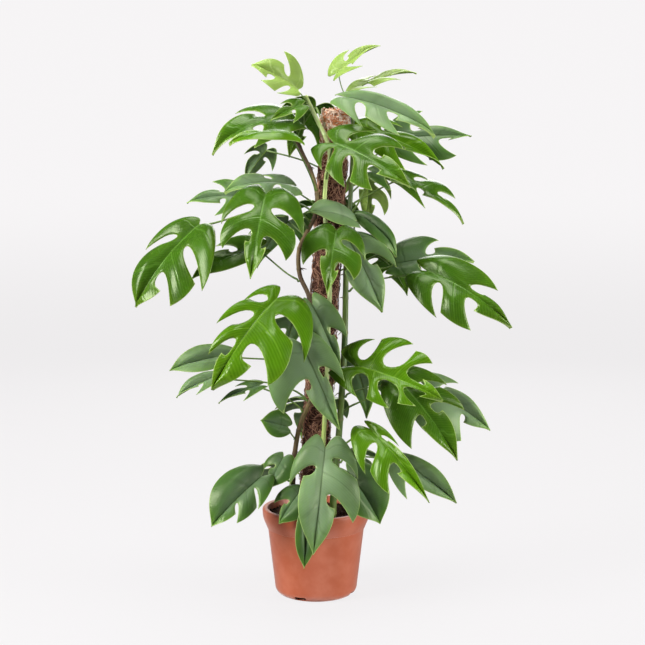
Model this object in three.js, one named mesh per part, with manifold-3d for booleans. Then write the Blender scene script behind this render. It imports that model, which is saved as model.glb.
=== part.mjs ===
// A mini monstera (Rhaphidophora tetrasperma) climbing a coir pole in a plastic nursery pot.
// Millimetres, +Z up. The origin is the centre of the flat bottom of the pot; -Y is the front.
// Every leaf is one solid, its blade and its petiole, that ends just clear of the stem it grows on.
import * as THREE from "three";
import { mergeVertices } from "three/addons/utils/BufferGeometryUtils.js";
import Module from "manifold-3d";

const wasm = await Module();
wasm.setup();

// ---- driving dimensions -------------------------------------------------------------------

const SEAT = 0.3; // clearance between pieces that touch on the real plant

const POT_HEIGHT = 155;
const POT_WALL = 2; // also the floor
const POT_SIDES = 36;
const FOOT_RADIUS = 73; // wall where the rounded heel starts
const HEEL_RADIUS = 15; // rounding between wall and bottom
const HEEL_PARTS = 4;
const COLLAR_FOOT = 119; // height where the wall turns out into the rolled collar
const COLLAR_FOOT_RADIUS = 85.5;
const COLLAR_STEP = 1.5; // the small step round the foot of the collar
const RIM_RADIUS = 95; // widest point of the collar
const RIM_INNER_RADIUS = 86;
const RIM_EDGE = 4; // rounding of the outer edge of the rim
const NOTCH_COUNT = 4; // drain slots in the heel
const NOTCH_WIDTH = 21;
const NOTCH_HEIGHT = 9;
const NOTCH_DEPTH = 12; // inwards from the outside of the wall
const NOTCH_TURN = THREE.MathUtils.degToRad(-113); // of the first slot, from +X

const SOIL_TOP = 142;
const SOIL_LUMP = 2.2; // height of the unevenness of the soil
const SOIL_RINGS = 4;
const SOIL_SEED = 5;
const STEM_DEEP = 60; // height of the lower end of the stems, in the soil

const POLE_FOOT = new THREE.Vector3(-15, 0, 25);
const POLE_TOP = new THREE.Vector3(34.5, 0, 845);
const POLE_RADIUS = 25;
const CORE_RADIUS = 11;
const CORE_SHORT = 12; // how far the core stops below the top of the coir
const POLE_SIDES = 16;
const COIR_COLOUR = 0x8a5f45;

const STEM_SIDES = 6;
const PETIOLE_SIDES = 4;
const PETIOLE_STEPS = 4;
const PETIOLE_RADIUS = 1.7;
const PETIOLE_SUNK = 9; // length of the petiole that runs on into the midrib
const PETIOLE_START = 2; // straight piece of the petiole at the stem

const BLADE_THICK = 0.8;
const LOBE_COLUMNS = 1;
const LOBE_ROWS = 2;
const ROW_CROWDING = 1.6; // how much closer the rows lie near the midrib
const MIDRIB_DEEP = 1.3; // how far the midrib stands out of the underside at the base
const MIDRIB_PARTS = 4;

// ---- the climbing stems -------------------------------------------------------------------

// Points of each stem from below the soil to its growing tip, with the radius at both ends.
const STEMS = {
  left: {
    radii: [4.6, 3.6],
    colour: 0x4c5a32,
    points: [
      [-46, -12, STEM_DEEP], [-41, -10, 164], [-40, -10, 226], [-36, -15, 264], [-30, -20, 297],
      [-22, -28, 322], [-8, -35, 358], [-1, -36, 438], [-11, -27, 529], [-28, -14, 569],
      [-29, -8, 612], [-15, -18, 643], [-1, -29, 673], [2, -29, 707], [-8, -18, 746],
      [-24, -12, 780], [-34, -10, 804],
    ],
  },
  right: {
    radii: [7, 3],
    colour: 0x4d6b3c,
    points: [
      [27, -26, STEM_DEEP], [30, -25, 164], [41, -16, 297], [50, -9, 447], [53, -8, 592],
      [58, -8, 673], [62, -6, 741], [64, -4, 817], [62, -2, 872],
    ],
  },
  front: {
    radii: [4.1, 3.7],
    colour: 0x9fb466,
    points: [
      [5, -33, STEM_DEEP], [6, -33, 158], [13, -32, 280], [19, -32, 386], [22, -32, 491],
      [24, -32, 552], [19, -32, 630], [15, -31, 690], [18, -31, 738], [24, -31, 775],
      [17, -29, 804], [4, -22, 831], [-9, -14, 858], [-18, -10, 876],
    ],
  },
  back: {
    radii: [4.6, 3],
    colour: 0x55703f,
    points: [
      [-6, 32, STEM_DEEP], [-6, 33, 164], [4, 35, 300], [8, 34, 450], [22, 33, 600], [28, 31, 720],
      [36, 30, 805],
    ],
  },
};

// ---- the leaves ---------------------------------------------------------------------------

// stem, root: the stem it grows on, and the height of its root there
// at, tip: where the petiole meets the blade, and the end of the blade
// face: the way its upper side faces; wide: half widths over the length, left and right
// bend, fold, droop: degrees that it arches along, is raised at the midrib, and hangs across
// left, right: where the slots between its lobes start from the midrib, 0 at the base, 1 at the tip
const LEAVES = [
  { name: "top_1", stem: "front", root: 866, at: [-30, -16, 887], tip: [-107, -46, 927],
    face: [-0.1, -0.8, 0.6], wide: [0.5, 0.54], bend: 20, fold: 22, droop: 10,
    left: [0.42, 0.72], right: [0.5], tone: "young",
    thick: 0.7, gap: 1.1, point: 0.05, tail: 0.8, reach: -0.06 },
  { name: "top_2", stem: "right", root: 868, at: [38, -4, 916], tip: [111, 6, 963],
    face: [-0.3, -0.5, 0.8], wide: [0.42, 0.42], bend: 30, fold: 20, droop: 40,
    left: [0.5], right: [0.45], tone: "young", thick: 0.6 },
  { name: "top_3", stem: "right", root: 850, at: [68, 18, 890], tip: [176, 34, 919],
    face: [-0.1, -0.3, 1], wide: [0.36, 0.36], bend: 35, fold: 12, droop: 30,
    left: [0.5], right: [0.35, 0.65], tone: "young", thick: 0.8 },
  { name: "top_4", stem: "right", root: 835, at: [58, -24, 872], tip: [204, -44, 807],
    face: [0.25, -0.5, 0.8], wide: [0.07, 0.42], bend: 30, fold: 12, droop: 50,
    left: [], right: [0.36, 0.66], tone: "grey", gap: 1.1, tail: 0.6 },
  { name: "upper_right_1", stem: "front", root: 735, at: [31, -84, 793], tip: [156, -138, 720],
    face: [0.1, -0.8, 0.6], wide: [0.46, 0.46], bend: 34, fold: 12, droop: 42,
    left: [0.36, 0.66], right: [0.26, 0.5, 0.72], tone: "green", point: 0.12, tail: 0.6, reach: 0.15 },
  { name: "upper_right_2", stem: "right", root: 760, at: [82, -20, 816], tip: [220, -30, 752],
    face: [0.1, -0.6, 0.8], wide: [0.46, 0.42], bend: 35, fold: 12, droop: 45,
    left: [0.42], right: [0.32, 0.62], tone: "bright", gap: 1.1, point: 0.2, tail: 0.55 },
  { name: "upper_right_3", stem: "right", root: 745, at: [144, 40, 805], tip: [277, 60, 811],
    face: [-0.1, -0.9, 0.4], wide: [0.42, 0.42], bend: 25, fold: 10, droop: 35,
    left: [0.45], right: [0.42, 0.74], tone: "dark", gap: 1.4, point: 0.15, tail: 0.5 },
  { name: "upper_right_4", stem: "right", root: 690, at: [147, 10, 736], tip: [258, 0, 657],
    face: [0.2, -0.5, 0.85], wide: [0.36, 0.3], bend: 40, fold: 12, droop: 40,
    left: [0.4, 0.7], right: [0.5], tone: "green" },
  { name: "upper_right_5", stem: "right", root: 676, at: [97, -34, 746], tip: [172, -50, 712],
    face: [0, -0.7, 0.7], wide: [0.3, 0.3], bend: 40, fold: 12, droop: 40,
    left: [0.5], right: [0.55], tone: "dark" },
  { name: "upper_left_1", stem: "left", root: 792, at: [-45, 0, 834], tip: [-177, -40, 775],
    face: [-0.3, -0.6, 0.7], wide: [0.38, 0.46], bend: 70, fold: 12, droop: 45,
    left: [0.6], right: [0.5], tone: "green", point: 0.2, tail: 0.6 },
  { name: "upper_left_2", stem: "left", root: 715, at: [-38, -92, 800], tip: [-142, -128, 791],
    face: [-0.2, -0.35, 0.9], wide: [0.28, 0.4], bend: 30, fold: 12, droop: 40,
    left: [], right: [0.5], tone: "bright" },
  { name: "upper_left_3", stem: "left", root: 796, at: [-24, -36, 859], tip: [-77, -44, 832],
    face: [-0.3, -0.8, 0.5], wide: [0.45, 0.45], bend: 30, fold: 12, droop: 40,
    left: [0.5], right: [0.5], tone: "green", thick: 0.8 },
  { name: "left_1", stem: "left", root: 660, at: [-200, -36, 656], tip: [-306, -76, 518],
    face: [-0.5, -0.8, 0.4], wide: [0.56, 0.37], bend: 35, fold: 12, droop: 38,
    left: [0.48, 0.76], right: [0.44], tone: "green", point: 0.15, tail: 0.9, reach: -0.04 },
  { name: "left_2", stem: "left", root: 674, at: [-135, 20, 705], tip: [-227, 20, 693],
    face: [-0.1, -0.7, 0.6], wide: [0.42, 0.42], bend: 35, fold: 12, droop: 40,
    left: [0.5], right: [0.5], tone: "dark" },
  { name: "left_3", stem: "left", root: 560, at: [-102, 10, 612], tip: [-218, -10, 559],
    face: [-0.1, -0.6, 0.7], wide: [0.25, 0.38], bend: 35, fold: 12, droop: 40,
    left: [], right: [0.5], tone: "green" },
  { name: "left_4", stem: "left", root: 650, at: [-82, -120, 708], tip: [-104, -190, 573],
    face: [0, -0.95, 0.4], wide: [0.5, 0.46], bend: 50, fold: 12, droop: 50,
    left: [0.45, 0.74], right: [0.44, 0.7], tone: "green", gap: 1.1, point: 0.2, tail: 0.6 },
  { name: "left_5", stem: "left", root: 690, at: [-45, -18, 724], tip: [-155, -56, 712],
    face: [-0.1, -0.5, 0.85], wide: [0.46, 0.42], bend: 45, fold: 12, droop: 50,
    left: [0.45, 0.7], right: [0.5], tone: "grey", point: 0.15 },
  { name: "middle_1", stem: "front", root: 620, at: [62, -54, 664], tip: [-16, -86, 677],
    face: [0, -0.6, 0.8], wide: [0.4, 0.4], bend: 40, fold: 12, droop: 40,
    left: [], right: [], tone: "grey" },
  { name: "middle_2", stem: "right", root: 625, at: [71, -14, 671], tip: [139, -44, 601],
    face: [0.3, -0.6, 0.7], wide: [0.15, 0.22], bend: 50, fold: 12, droop: 40,
    left: [], right: [], tone: "dark" },
  { name: "middle_3", stem: "front", root: 618, at: [34, -110, 648], tip: [19, -164, 547],
    face: [0, -0.9, 0.4], wide: [0.5, 0.46], bend: 50, fold: 12, droop: 50,
    left: [0.43, 0.74], right: [0.6], tone: "green", point: 0.2, tail: 0.6 },
  { name: "middle_4", stem: "right", root: 575, at: [57, -48, 630], tip: [113, -97, 511],
    face: [0.1, -0.95, 0.3], wide: [0.4, 0.5], bend: 40, fold: 12, droop: 45,
    left: [0.52], right: [0.46], tone: "grey", gap: 1.5, point: 0.2, tail: 0.7, reach: 0 },
  { name: "right_1", stem: "right", root: 560, at: [145, 30, 586], tip: [282, 50, 588],
    face: [0.1, -0.7, 0.6], wide: [0.42, 0.35], bend: 35, fold: 12, droop: 40,
    left: [0.6], right: [0.5], tone: "dark", point: 0.1 },
  { name: "right_2", stem: "right", root: 540, at: [191, -40, 577], tip: [332, -90, 485],
    face: [0.1, -0.8, 0.6], wide: [0.27, 0.42], bend: 45, fold: 12, droop: 48,
    left: [0.67], right: [0.42, 0.7], tone: "green", point: 0.15, tail: 0.7 },
  { name: "left_6", stem: "left", root: 470, at: [-64, -110, 536], tip: [-168, -200, 395],
    face: [0.05, -0.85, 0.55], wide: [0.51, 0.27], bend: 52, fold: 12, droop: 44,
    left: [0.41, 0.72], right: [0.3, 0.52, 0.75], tone: "bright",
    thick: 1.2, gap: 1.15, point: 0.3, tail: 0.85 },
  { name: "left_7", stem: "left", root: 400, at: [-150, -40, 431], tip: [-252, -50, 405],
    face: [-0.1, -0.8, 0.6], wide: [0.24, 0.2], bend: 30, fold: 12, droop: 35,
    left: [], right: [], tone: "grey" },
  { name: "left_8", stem: "left", root: 350, at: [-165, -80, 400], tip: [-236, -96, 366],
    face: [-0.1, -0.6, 0.8], wide: [0.24, 0.22], bend: 30, fold: 12, droop: 35,
    left: [0.6], right: [], tone: "grey" },
  { name: "left_9", stem: "left", root: 330, at: [-98, -54, 380], tip: [-167, -70, 352],
    face: [-0.1, -0.6, 0.8], wide: [0.28, 0.28], bend: 30, fold: 12, droop: 35,
    left: [0.5], right: [0.5], tone: "dark" },
  { name: "middle_5", stem: "left", root: 400, at: [-21, -100, 456], tip: [41, -140, 318],
    face: [0, -1, 0.2], wide: [0.28, 0.56], bend: 35, fold: 12, droop: 50,
    left: [0.55], right: [0.6], tone: "grey", thick: 1.1, gap: 1.1, point: 0.2, tail: 0.55 },
  { name: "middle_6", stem: "front", root: 470, at: [-5, -56, 518], tip: [43, -68, 407],
    face: [0.1, -1, 0.2], wide: [0.3, 0.2], bend: 35, fold: 12, droop: 40,
    left: [0.6], right: [], tone: "grey", point: 0.15 },
  { name: "middle_7", stem: "left", root: 280, at: [-50, -34, 305], tip: [-96, -44, 318],
    face: [-0.1, -0.9, 0.4], wide: [0.5, 0.5], bend: 25, fold: 12, droop: 30,
    left: [], right: [], tone: "dark", thick: 0.8 },
  { name: "right_3", stem: "right", root: 385, at: [67, -86, 418], tip: [213, -130, 367],
    face: [0.1, -0.8, 0.55], wide: [0.5, 0.38], bend: 35, fold: 12, droop: 30,
    left: [0.27, 0.55, 0.77], right: [0.36, 0.6, 0.8], tone: "bright",
    thick: 1.1, gap: 1.6, point: 0.1, tail: 0.7, reach: 0.22 },
  { name: "right_4", stem: "right", root: 355, at: [148, -60, 384], tip: [240, -106, 260],
    face: [0.2, -0.9, 0.4], wide: [0.42, 0.4], bend: 40, fold: 12, droop: 45,
    left: [0.35, 0.6], right: [0.62], tone: "green" },
  { name: "right_5", stem: "right", root: 330, at: [192, 0, 371], tip: [307, -14, 295],
    face: [0.2, -0.85, 0.45], wide: [0.33, 0.58], bend: 35, fold: 12, droop: 40,
    left: [0.4], right: [0.74], tone: "grey", gap: 0.5, point: 0.1 },
  { name: "right_6", stem: "right", root: 260, at: [91, -115, 316], tip: [187, -185, 206],
    face: [0.2, -0.9, 0.4], wide: [0.12, 0.38], bend: 45, fold: 12, droop: 42,
    left: [0.4], right: [0.42, 0.68], tone: "bright", thick: 1.1, point: 0.15, tail: 0.6, reach: 0.08 },
  { name: "right_7", stem: "right", root: 240, at: [148, -70, 253], tip: [240, -100, 185],
    face: [0.2, -0.9, 0.4], wide: [0.13, 0.42], bend: 35, fold: 12, droop: 40,
    left: [], right: [0.45], tone: "grey" },
  { name: "low_1", stem: "left", root: 200, at: [-94, -80, 226], tip: [-176, -125, 150],
    face: [-0.2, -0.9, 0.4], wide: [0.34, 0.37], bend: 35, fold: 12, droop: 42,
    left: [0.42, 0.7], right: [], tone: "dark",
    thick: 1.1, gap: 0.45, point: 0.1, tail: 0.95, reach: 0.1 },
  { name: "low_2", stem: "left", root: 215, at: [-56, -50, 254], tip: [-80, -76, 205],
    face: [-0.3, -0.8, 0.5], wide: [0.55, 0.5], bend: 30, fold: 12, droop: 40,
    left: [], right: [0.55], tone: "dark" },
  { name: "low_3", stem: "left", root: 170, at: [-27, -78, 200], tip: [-63, -104, 150],
    face: [-0.1, -0.9, 0.4], wide: [0.45, 0.45], bend: 40, fold: 12, droop: 40,
    left: [], right: [0.6], tone: "dark" },
  { name: "low_4", stem: "front", root: 235, at: [16, -126, 285], tip: [-4, -165, 113],
    face: [0, -1, 0.15], wide: [0.4, 0.35], bend: 40, fold: 12, droop: 48,
    left: [0.32, 0.64], right: [0.42], tone: "grey",
    thick: 1.1, gap: 0.85, point: 0.12, tail: 0.75, reach: 0.08 },
  { name: "low_5", stem: "front", root: 160, at: [-16, -106, 170], tip: [-20, -120, 77],
    face: [0.1, -1, 0.2], wide: [0.17, 0.17], bend: 30, fold: 10, droop: 30,
    left: [], right: [], tone: "dark", thick: 0.9 },
  { name: "low_6", stem: "right", root: 190, at: [54, -80, 236], tip: [109, -118, 153],
    face: [0.3, -0.9, 0.4], wide: [0.4, 0.4], bend: 40, fold: 12, droop: 40,
    left: [], right: [], tone: "dark" },
  { name: "back_1", stem: "back", root: 450, at: [-30, 80, 500], tip: [-60, 155, 400],
    face: [-0.2, 0.9, 0.5], wide: [0.45, 0.45], bend: 45, fold: 12, droop: 40,
    left: [0.4, 0.7], right: [0.5], tone: "dark" },
  { name: "back_2", stem: "back", root: 350, at: [70, 70, 400], tip: [95, 145, 290],
    face: [0.3, 0.9, 0.4], wide: [0.45, 0.45], bend: 45, fold: 12, droop: 40,
    left: [0.5], right: [0.4, 0.7], tone: "dark" },
  { name: "back_3", stem: "back", root: 600, at: [-50, 80, 660], tip: [-110, 150, 570],
    face: [-0.4, 0.8, 0.5], wide: [0.5, 0.5], bend: 45, fold: 12, droop: 40,
    left: [0.4, 0.7], right: [0.5], tone: "dark" },
  { name: "back_4", stem: "back", root: 790, at: [0, 50, 862], tip: [-50, 110, 775],
    face: [-0.3, 0.9, 0.4], wide: [0.5, 0.5], bend: 45, fold: 12, droop: 40,
    left: [0.4, 0.7], right: [0.4, 0.7], tone: "green" },
  { name: "back_5", stem: "back", root: 740, at: [-88, 60, 786], tip: [-128, 80, 728],
    face: [-0.3, 0.9, 0.4], wide: [0.45, 0.45], bend: 40, fold: 12, droop: 40,
    left: [0.4], right: [0.45], tone: "grey" },
  { name: "back_6", stem: "back", root: 680, at: [95, 70, 740], tip: [90, 140, 650],
    face: [0.3, 0.9, 0.4], wide: [0.4, 0.4], bend: 40, fold: 12, droop: 40,
    left: [0.5], right: [0.4, 0.7], tone: "young" },
  { name: "back_7", stem: "back", root: 560, at: [110, 80, 600], tip: [170, 150, 520],
    face: [0.4, 0.8, 0.5], wide: [0.5, 0.5], bend: 45, fold: 12, droop: 40,
    left: [0.4, 0.7], right: [0.5], tone: "green" },
  { name: "back_8", stem: "back", root: 640, at: [10, 100, 690], tip: [20, 200, 600],
    face: [0, 0.8, 0.6], wide: [0.45, 0.5], bend: 50, fold: 12, droop: 40,
    left: [0.35, 0.65], right: [0.5], tone: "green" },
  { name: "back_9", stem: "back", root: 290, at: [0, 90, 330], tip: [-30, 200, 240],
    face: [-0.1, 0.8, 0.6], wide: [0.5, 0.5], bend: 50, fold: 12, droop: 40,
    left: [0.35, 0.65], right: [0.5], tone: "dark", thick: 1.1 },
  { name: "back_10", stem: "back", root: 200, at: [60, 80, 240], tip: [95, 165, 160],
    face: [0.3, 0.8, 0.5], wide: [0.45, 0.45], bend: 45, fold: 12, droop: 40,
    left: [0.5], right: [0.5], tone: "dark" },
  { name: "back_11", stem: "back", root: 190, at: [-60, 60, 220], tip: [-110, 125, 150],
    face: [-0.4, 0.8, 0.5], wide: [0.4, 0.4], bend: 45, fold: 12, droop: 40,
    left: [0.5], right: [0.5], tone: "dark" },
];

// What a leaf has where its own line does not say otherwise. thick: times the usual petiole;
// gap: times the usual slot; point: how far the inner corner of each lobe is cut back; tail: how
// far out the last lobe begins; reach: how far its lobes at the base reach back.
const USUAL = { thick: 1, gap: 1, point: 0.25, tail: 0.65, reach: 0.12 };

const TONES = { young: 0xa9cf62, bright: 0x5f9f1e, green: 0x4b8a2c, dark: 0x3f6b34, grey: 0x64905c };

// ---- solids -------------------------------------------------------------------------------

// A manifold-3d solid from points and triangles.
function solidFrom(points, faces) {
  const vertProperties = new Float32Array(points.flatMap((p) => [p.x, p.y, p.z]));
  const triVerts = new Uint32Array(faces.flat());
  return new wasm.Manifold(new wasm.Mesh({ numProp: 3, vertProperties, triVerts }));
}

// A manifold-3d solid from a closed three.js geometry.
function solidOf(geometry) {
  geometry.deleteAttribute("normal");
  geometry.deleteAttribute("uv");
  const welded = mergeVertices(geometry);
  return new wasm.Manifold(new wasm.Mesh({
    numProp: 3,
    vertProperties: new Float32Array(welded.attributes.position.array),
    triVerts: new Uint32Array(welded.index.array),
  }));
}

// The three.js geometry of a manifold-3d solid.
function geometryOf(solid) {
  const mesh = solid.getMesh();
  const geometry = new THREE.BufferGeometry();
  geometry.setAttribute("position", new THREE.BufferAttribute(mesh.vertProperties, mesh.numProp));
  geometry.setIndex(new THREE.BufferAttribute(mesh.triVerts, 1));
  return geometry;
}

// A round bar through the points, with a radius at each.
function tube(path, radii, sides) {
  const points = [];
  const faces = [];
  const tangents = path.map((p, i) => {
    const before = path[Math.max(i - 1, 0)];
    const after = path[Math.min(i + 1, path.length - 1)];
    return after.clone().sub(before).normalize();
  });
  const across = new THREE.Vector3(0, 1, 0).cross(tangents[0]).normalize();
  const turn = new THREE.Quaternion();
  path.forEach((centre, i) => {
    if (i > 0) {
      across.applyQuaternion(turn.setFromUnitVectors(tangents[i - 1], tangents[i]));
    }
    const other = tangents[i].clone().cross(across);
    for (let k = 0; k < sides; k += 1) {
      const angle = (2 * Math.PI * k) / sides;
      const out = across.clone().multiplyScalar(Math.cos(angle));
      out.addScaledVector(other, Math.sin(angle));
      points.push(centre.clone().addScaledVector(out, radii[i]));
    }
  });
  for (let i = 0; i + 1 < path.length; i += 1) {
    for (let k = 0; k < sides; k += 1) {
      const a = i * sides + k;
      const b = i * sides + ((k + 1) % sides);
      faces.push([a, b, b + sides], [a, b + sides, a + sides]);
    }
  }
  const last = (path.length - 1) * sides;
  for (let k = 1; k + 1 < sides; k += 1) {
    faces.push([0, k + 1, k], [last, last + k, last + k + 1]);
  }
  return solidFrom(points, faces);
}

// ---- leaf blades --------------------------------------------------------------------------

// The flat blade has length 1 along x from its base. A lateral vein leaves the midrib at
// x = u * u and runs to the margin, back at the base of the blade and forward at its tip.
const MARGIN_TURN = 2.75; // how far round the blade the margin starts, in radians
const MARGIN_MIDDLE = 0.36;
const MARGIN_REACH = 0.44;
const TIP_REACH = 0.2;
const MARGIN_SWEEP = 0.14;
const VEIN_BOW = 0.06;
const MARGIN_TAPER = 0.3; // how much narrower the blade is by its tip
const TIP_TAPER = 0.3; // narrowing of the last stretch alone

function flatPoint(u, v, half, reach) {
  const turn = MARGIN_TURN * Math.pow(1 - u, 0.9);
  const sweep = TIP_REACH * Math.pow(u, 6) + MARGIN_SWEEP * Math.sin(Math.PI * u) - reach * (1 - u);
  const marginX = MARGIN_MIDDLE + MARGIN_REACH * Math.cos(turn) + sweep;
  const taper = 1 - MARGIN_TAPER * u * u - TIP_TAPER * Math.pow(u, 8);
  const marginY = half * Math.sin(turn) * taper;
  const root = u * u;
  const x = root + (marginX - root) * v - 4 * VEIN_BOW * v * (1 - v) * (1 - u);
  return [x, marginY * v];
}

// Bends the flat blade: raised by the fold at the midrib, hanging at the sides, arched along.
function bentPoint(x, y, side, half, leaf) {
  const fold = THREE.MathUtils.degToRad(leaf.fold);
  const hang = THREE.MathUtils.degToRad(leaf.droop) / half;
  const across = (Math.sin(fold) - Math.sin(fold - hang * y)) / hang;
  const up = (Math.cos(fold - hang * y) - Math.cos(fold)) / hang;
  const bend = THREE.MathUtils.degToRad(leaf.bend);
  const arc = bend * x;
  return new THREE.Vector3(
    Math.sin(arc) / bend + up * Math.sin(arc),
    side * across,
    (Math.cos(arc) - 1) / bend + up * Math.cos(arc),
  );
}

// The lobes of one side: stretches between slots, with how near the midrib each slot starts.
function lobesOf(slots) {
  const ends = [0, ...slots, 1];
  const lobes = [];
  for (let i = 0; i + 1 < ends.length; i += 1) {
    lobes.push({
      from: ends[i],
      to: ends[i + 1],
      openFrom: i > 0,
      openTo: i + 2 < ends.length,
      first: i === 0,
      last: i + 2 === ends.length,
    });
  }
  return lobes;
}

const SINUS = 0.2; // where a slot starts, from the midrib (0) to the margin (1)
const SLOT_HALF = 0.058; // half width of a slot at the margin

function lobePoint(lobe, t, w, half, leaf) {
  const end = lobeEnd(lobe, t, leaf);
  const v = SINUS + (end - SINUS) * w;
  const open = SLOT_HALF * leaf.gap * Math.sqrt(w * (2 - w)) * (1.6 - 1.2 * w);
  const from = lobe.from + (lobe.openFrom ? open : 0);
  const to = lobe.to - (lobe.openTo ? open : 0);
  return flatPoint(from + (to - from) * t, v, half, leaf.reach);
}

// How far out the lobe ends: short at its corner near the base, pointed at the far one.
function lobeEnd(lobe, t, leaf) {
  if (lobe.first && lobe.last) {
    return 1;
  }
  if (lobe.last) {
    return leaf.tail * (0.7 + 0.3 * t * (2 - t));
  }
  if (lobe.first) {
    return 0.96 + 0.5 * leaf.point * t * t;
  }
  return 1.01 - leaf.point * Math.pow(1 - t, 2) + 0.25 * leaf.point * Math.pow(t, 3);
}

// Points and triangles of the middle surface of a blade, and how much midrib each point has.
function bladeSurface(leaf) {
  const points = [];
  const ribs = [];
  const faces = [];
  const add = (flat, side, half, rib) => {
    points.push(bentPoint(flat[0], flat[1], side, half, leaf));
    ribs.push(rib);
    return points.length - 1;
  };
  const midrib = [];
  for (let i = 0; i <= MIDRIB_PARTS; i += 1) {
    const u = i / MIDRIB_PARTS;
    midrib.push({ u, id: add([u * u, 0], 1, 1, 1 - u) });
  }
  const tip = midrib[MIDRIB_PARTS].id;
  [1, -1].forEach((side, index) => {
    const half = leaf.wide[index];
    const lobes = lobesOf(index === 0 ? leaf.left : leaf.right);
    const put = (a, b, c) => {
      if (a !== b && b !== c && a !== c) {
        faces.push(side > 0 ? [a, b, c] : [a, c, b]);
      }
    };
    const inner = [];
    lobes.forEach((lobe) => {
      const count = lobe.last || lobe.first ? LOBE_COLUMNS + 1 : LOBE_COLUMNS;
      const grid = [];
      for (let i = 0; i <= count; i += 1) {
        const t = i / count;
        const column = [];
        const shared = i === 0 && inner.length > 0;
        for (let k = 0; k <= LOBE_ROWS; k += 1) {
          const w = Math.pow(k / LOBE_ROWS, ROW_CROWDING);
          if (lobe.last && i === count) {
            column.push(tip);
          } else if (k === 0 && shared) {
            column.push(inner[inner.length - 1].id);
          } else {
            column.push(add(lobePoint(lobe, t, w, half, leaf), side, half, 0));
          }
        }
        if (!shared) {
          inner.push({ u: lobe.from + (lobe.to - lobe.from) * t, id: column[0] });
        }
        grid.push(column);
      }
      for (let i = 0; i < count; i += 1) {
        for (let k = 0; k < LOBE_ROWS; k += 1) {
          const [a, b] = [grid[i][k], grid[i][k + 1]];
          const [c, d] = [grid[i + 1][k], grid[i + 1][k + 1]];
          put(a, c, d);
          put(a, d, b);
        }
      }
    });
    let i = 0;
    let k = 0;
    while (i + 1 < midrib.length || k + 1 < inner.length) {
      const alongRib = k + 1 === inner.length
        || (i + 1 < midrib.length && midrib[i + 1].u <= inner[k + 1].u);
      if (alongRib) {
        put(midrib[i].id, midrib[i + 1].id, inner[k].id);
        i += 1;
      } else {
        put(midrib[i].id, inner[k + 1].id, inner[k].id);
        k += 1;
      }
    }
  });
  return { points, ribs, faces };
}

// The frame that carries the bent blade to its place: its matrix and its length.
function bladeFrame(leaf) {
  const bend = THREE.MathUtils.degToRad(leaf.bend);
  const at = new THREE.Vector3(...leaf.at);
  const chord = new THREE.Vector3(...leaf.tip).sub(at);
  const length = (chord.length() * bend) / (2 * Math.sin(bend / 2));
  const along = chord.normalize();
  const face = new THREE.Vector3(...leaf.face);
  face.addScaledVector(along, -face.dot(along)).normalize();
  const left = face.clone().cross(along);
  const turned = new THREE.Matrix4().makeRotationY(-bend / 2);
  const matrix = new THREE.Matrix4().makeBasis(along, left, face).multiply(turned);
  matrix.scale(new THREE.Vector3(length, length, length)).setPosition(at);
  return { matrix, length };
}

// A blade as a closed solid: both faces split alike, with a rim round every edge.
function bladeSolid(leaf) {
  const { points, ribs, faces } = bladeSurface(leaf);
  const { matrix } = bladeFrame(leaf);
  points.forEach((p) => p.applyMatrix4(matrix));
  const normals = points.map(() => new THREE.Vector3());
  const edges = new Map();
  faces.forEach(([a, b, c]) => {
    const one = points[b].clone().sub(points[a]);
    const two = points[c].clone().sub(points[a]);
    const normal = one.cross(two);
    [[a, b], [b, c], [c, a]].forEach(([from, to]) => {
      normals[from].add(normal);
      edges.set(`${from},${to}`, [from, to]);
    });
  });
  const count = points.length;
  const solid = [];
  points.forEach((p, i) => {
    solid.push(p.clone().addScaledVector(normals[i].normalize(), BLADE_THICK / 2));
  });
  points.forEach((p, i) => {
    solid.push(p.clone().addScaledVector(normals[i], -BLADE_THICK / 2 - MIDRIB_DEEP * ribs[i]));
  });
  const shell = faces.flatMap(([a, b, c]) => [[a, b, c], [a + count, c + count, b + count]]);
  edges.forEach(([from, to]) => {
    if (!edges.has(`${to},${from}`)) {
      shell.push([to, from, from + count], [to, from + count, to + count]);
    }
  });
  return solidFrom(solid, shell);
}

// ---- petioles -----------------------------------------------------------------------------

function stemCurve(stem) {
  return new THREE.CatmullRomCurve3(stem.points.map((p) => new THREE.Vector3(...p)));
}

// The place, tangent and radius of a stem at a height.
function stemAt(stem, height) {
  const curve = stemCurve(stem);
  let low = 0;
  let high = 1;
  for (let i = 0; i < 30; i += 1) {
    const middle = (low + high) / 2;
    if (curve.getPoint(middle).z < height) {
      low = middle;
    } else {
      high = middle;
    }
  }
  const radius = stem.radii[0] + (stem.radii[1] - stem.radii[0]) * low;
  return { place: curve.getPoint(low), tangent: curve.getTangent(low), radius };
}

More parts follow.
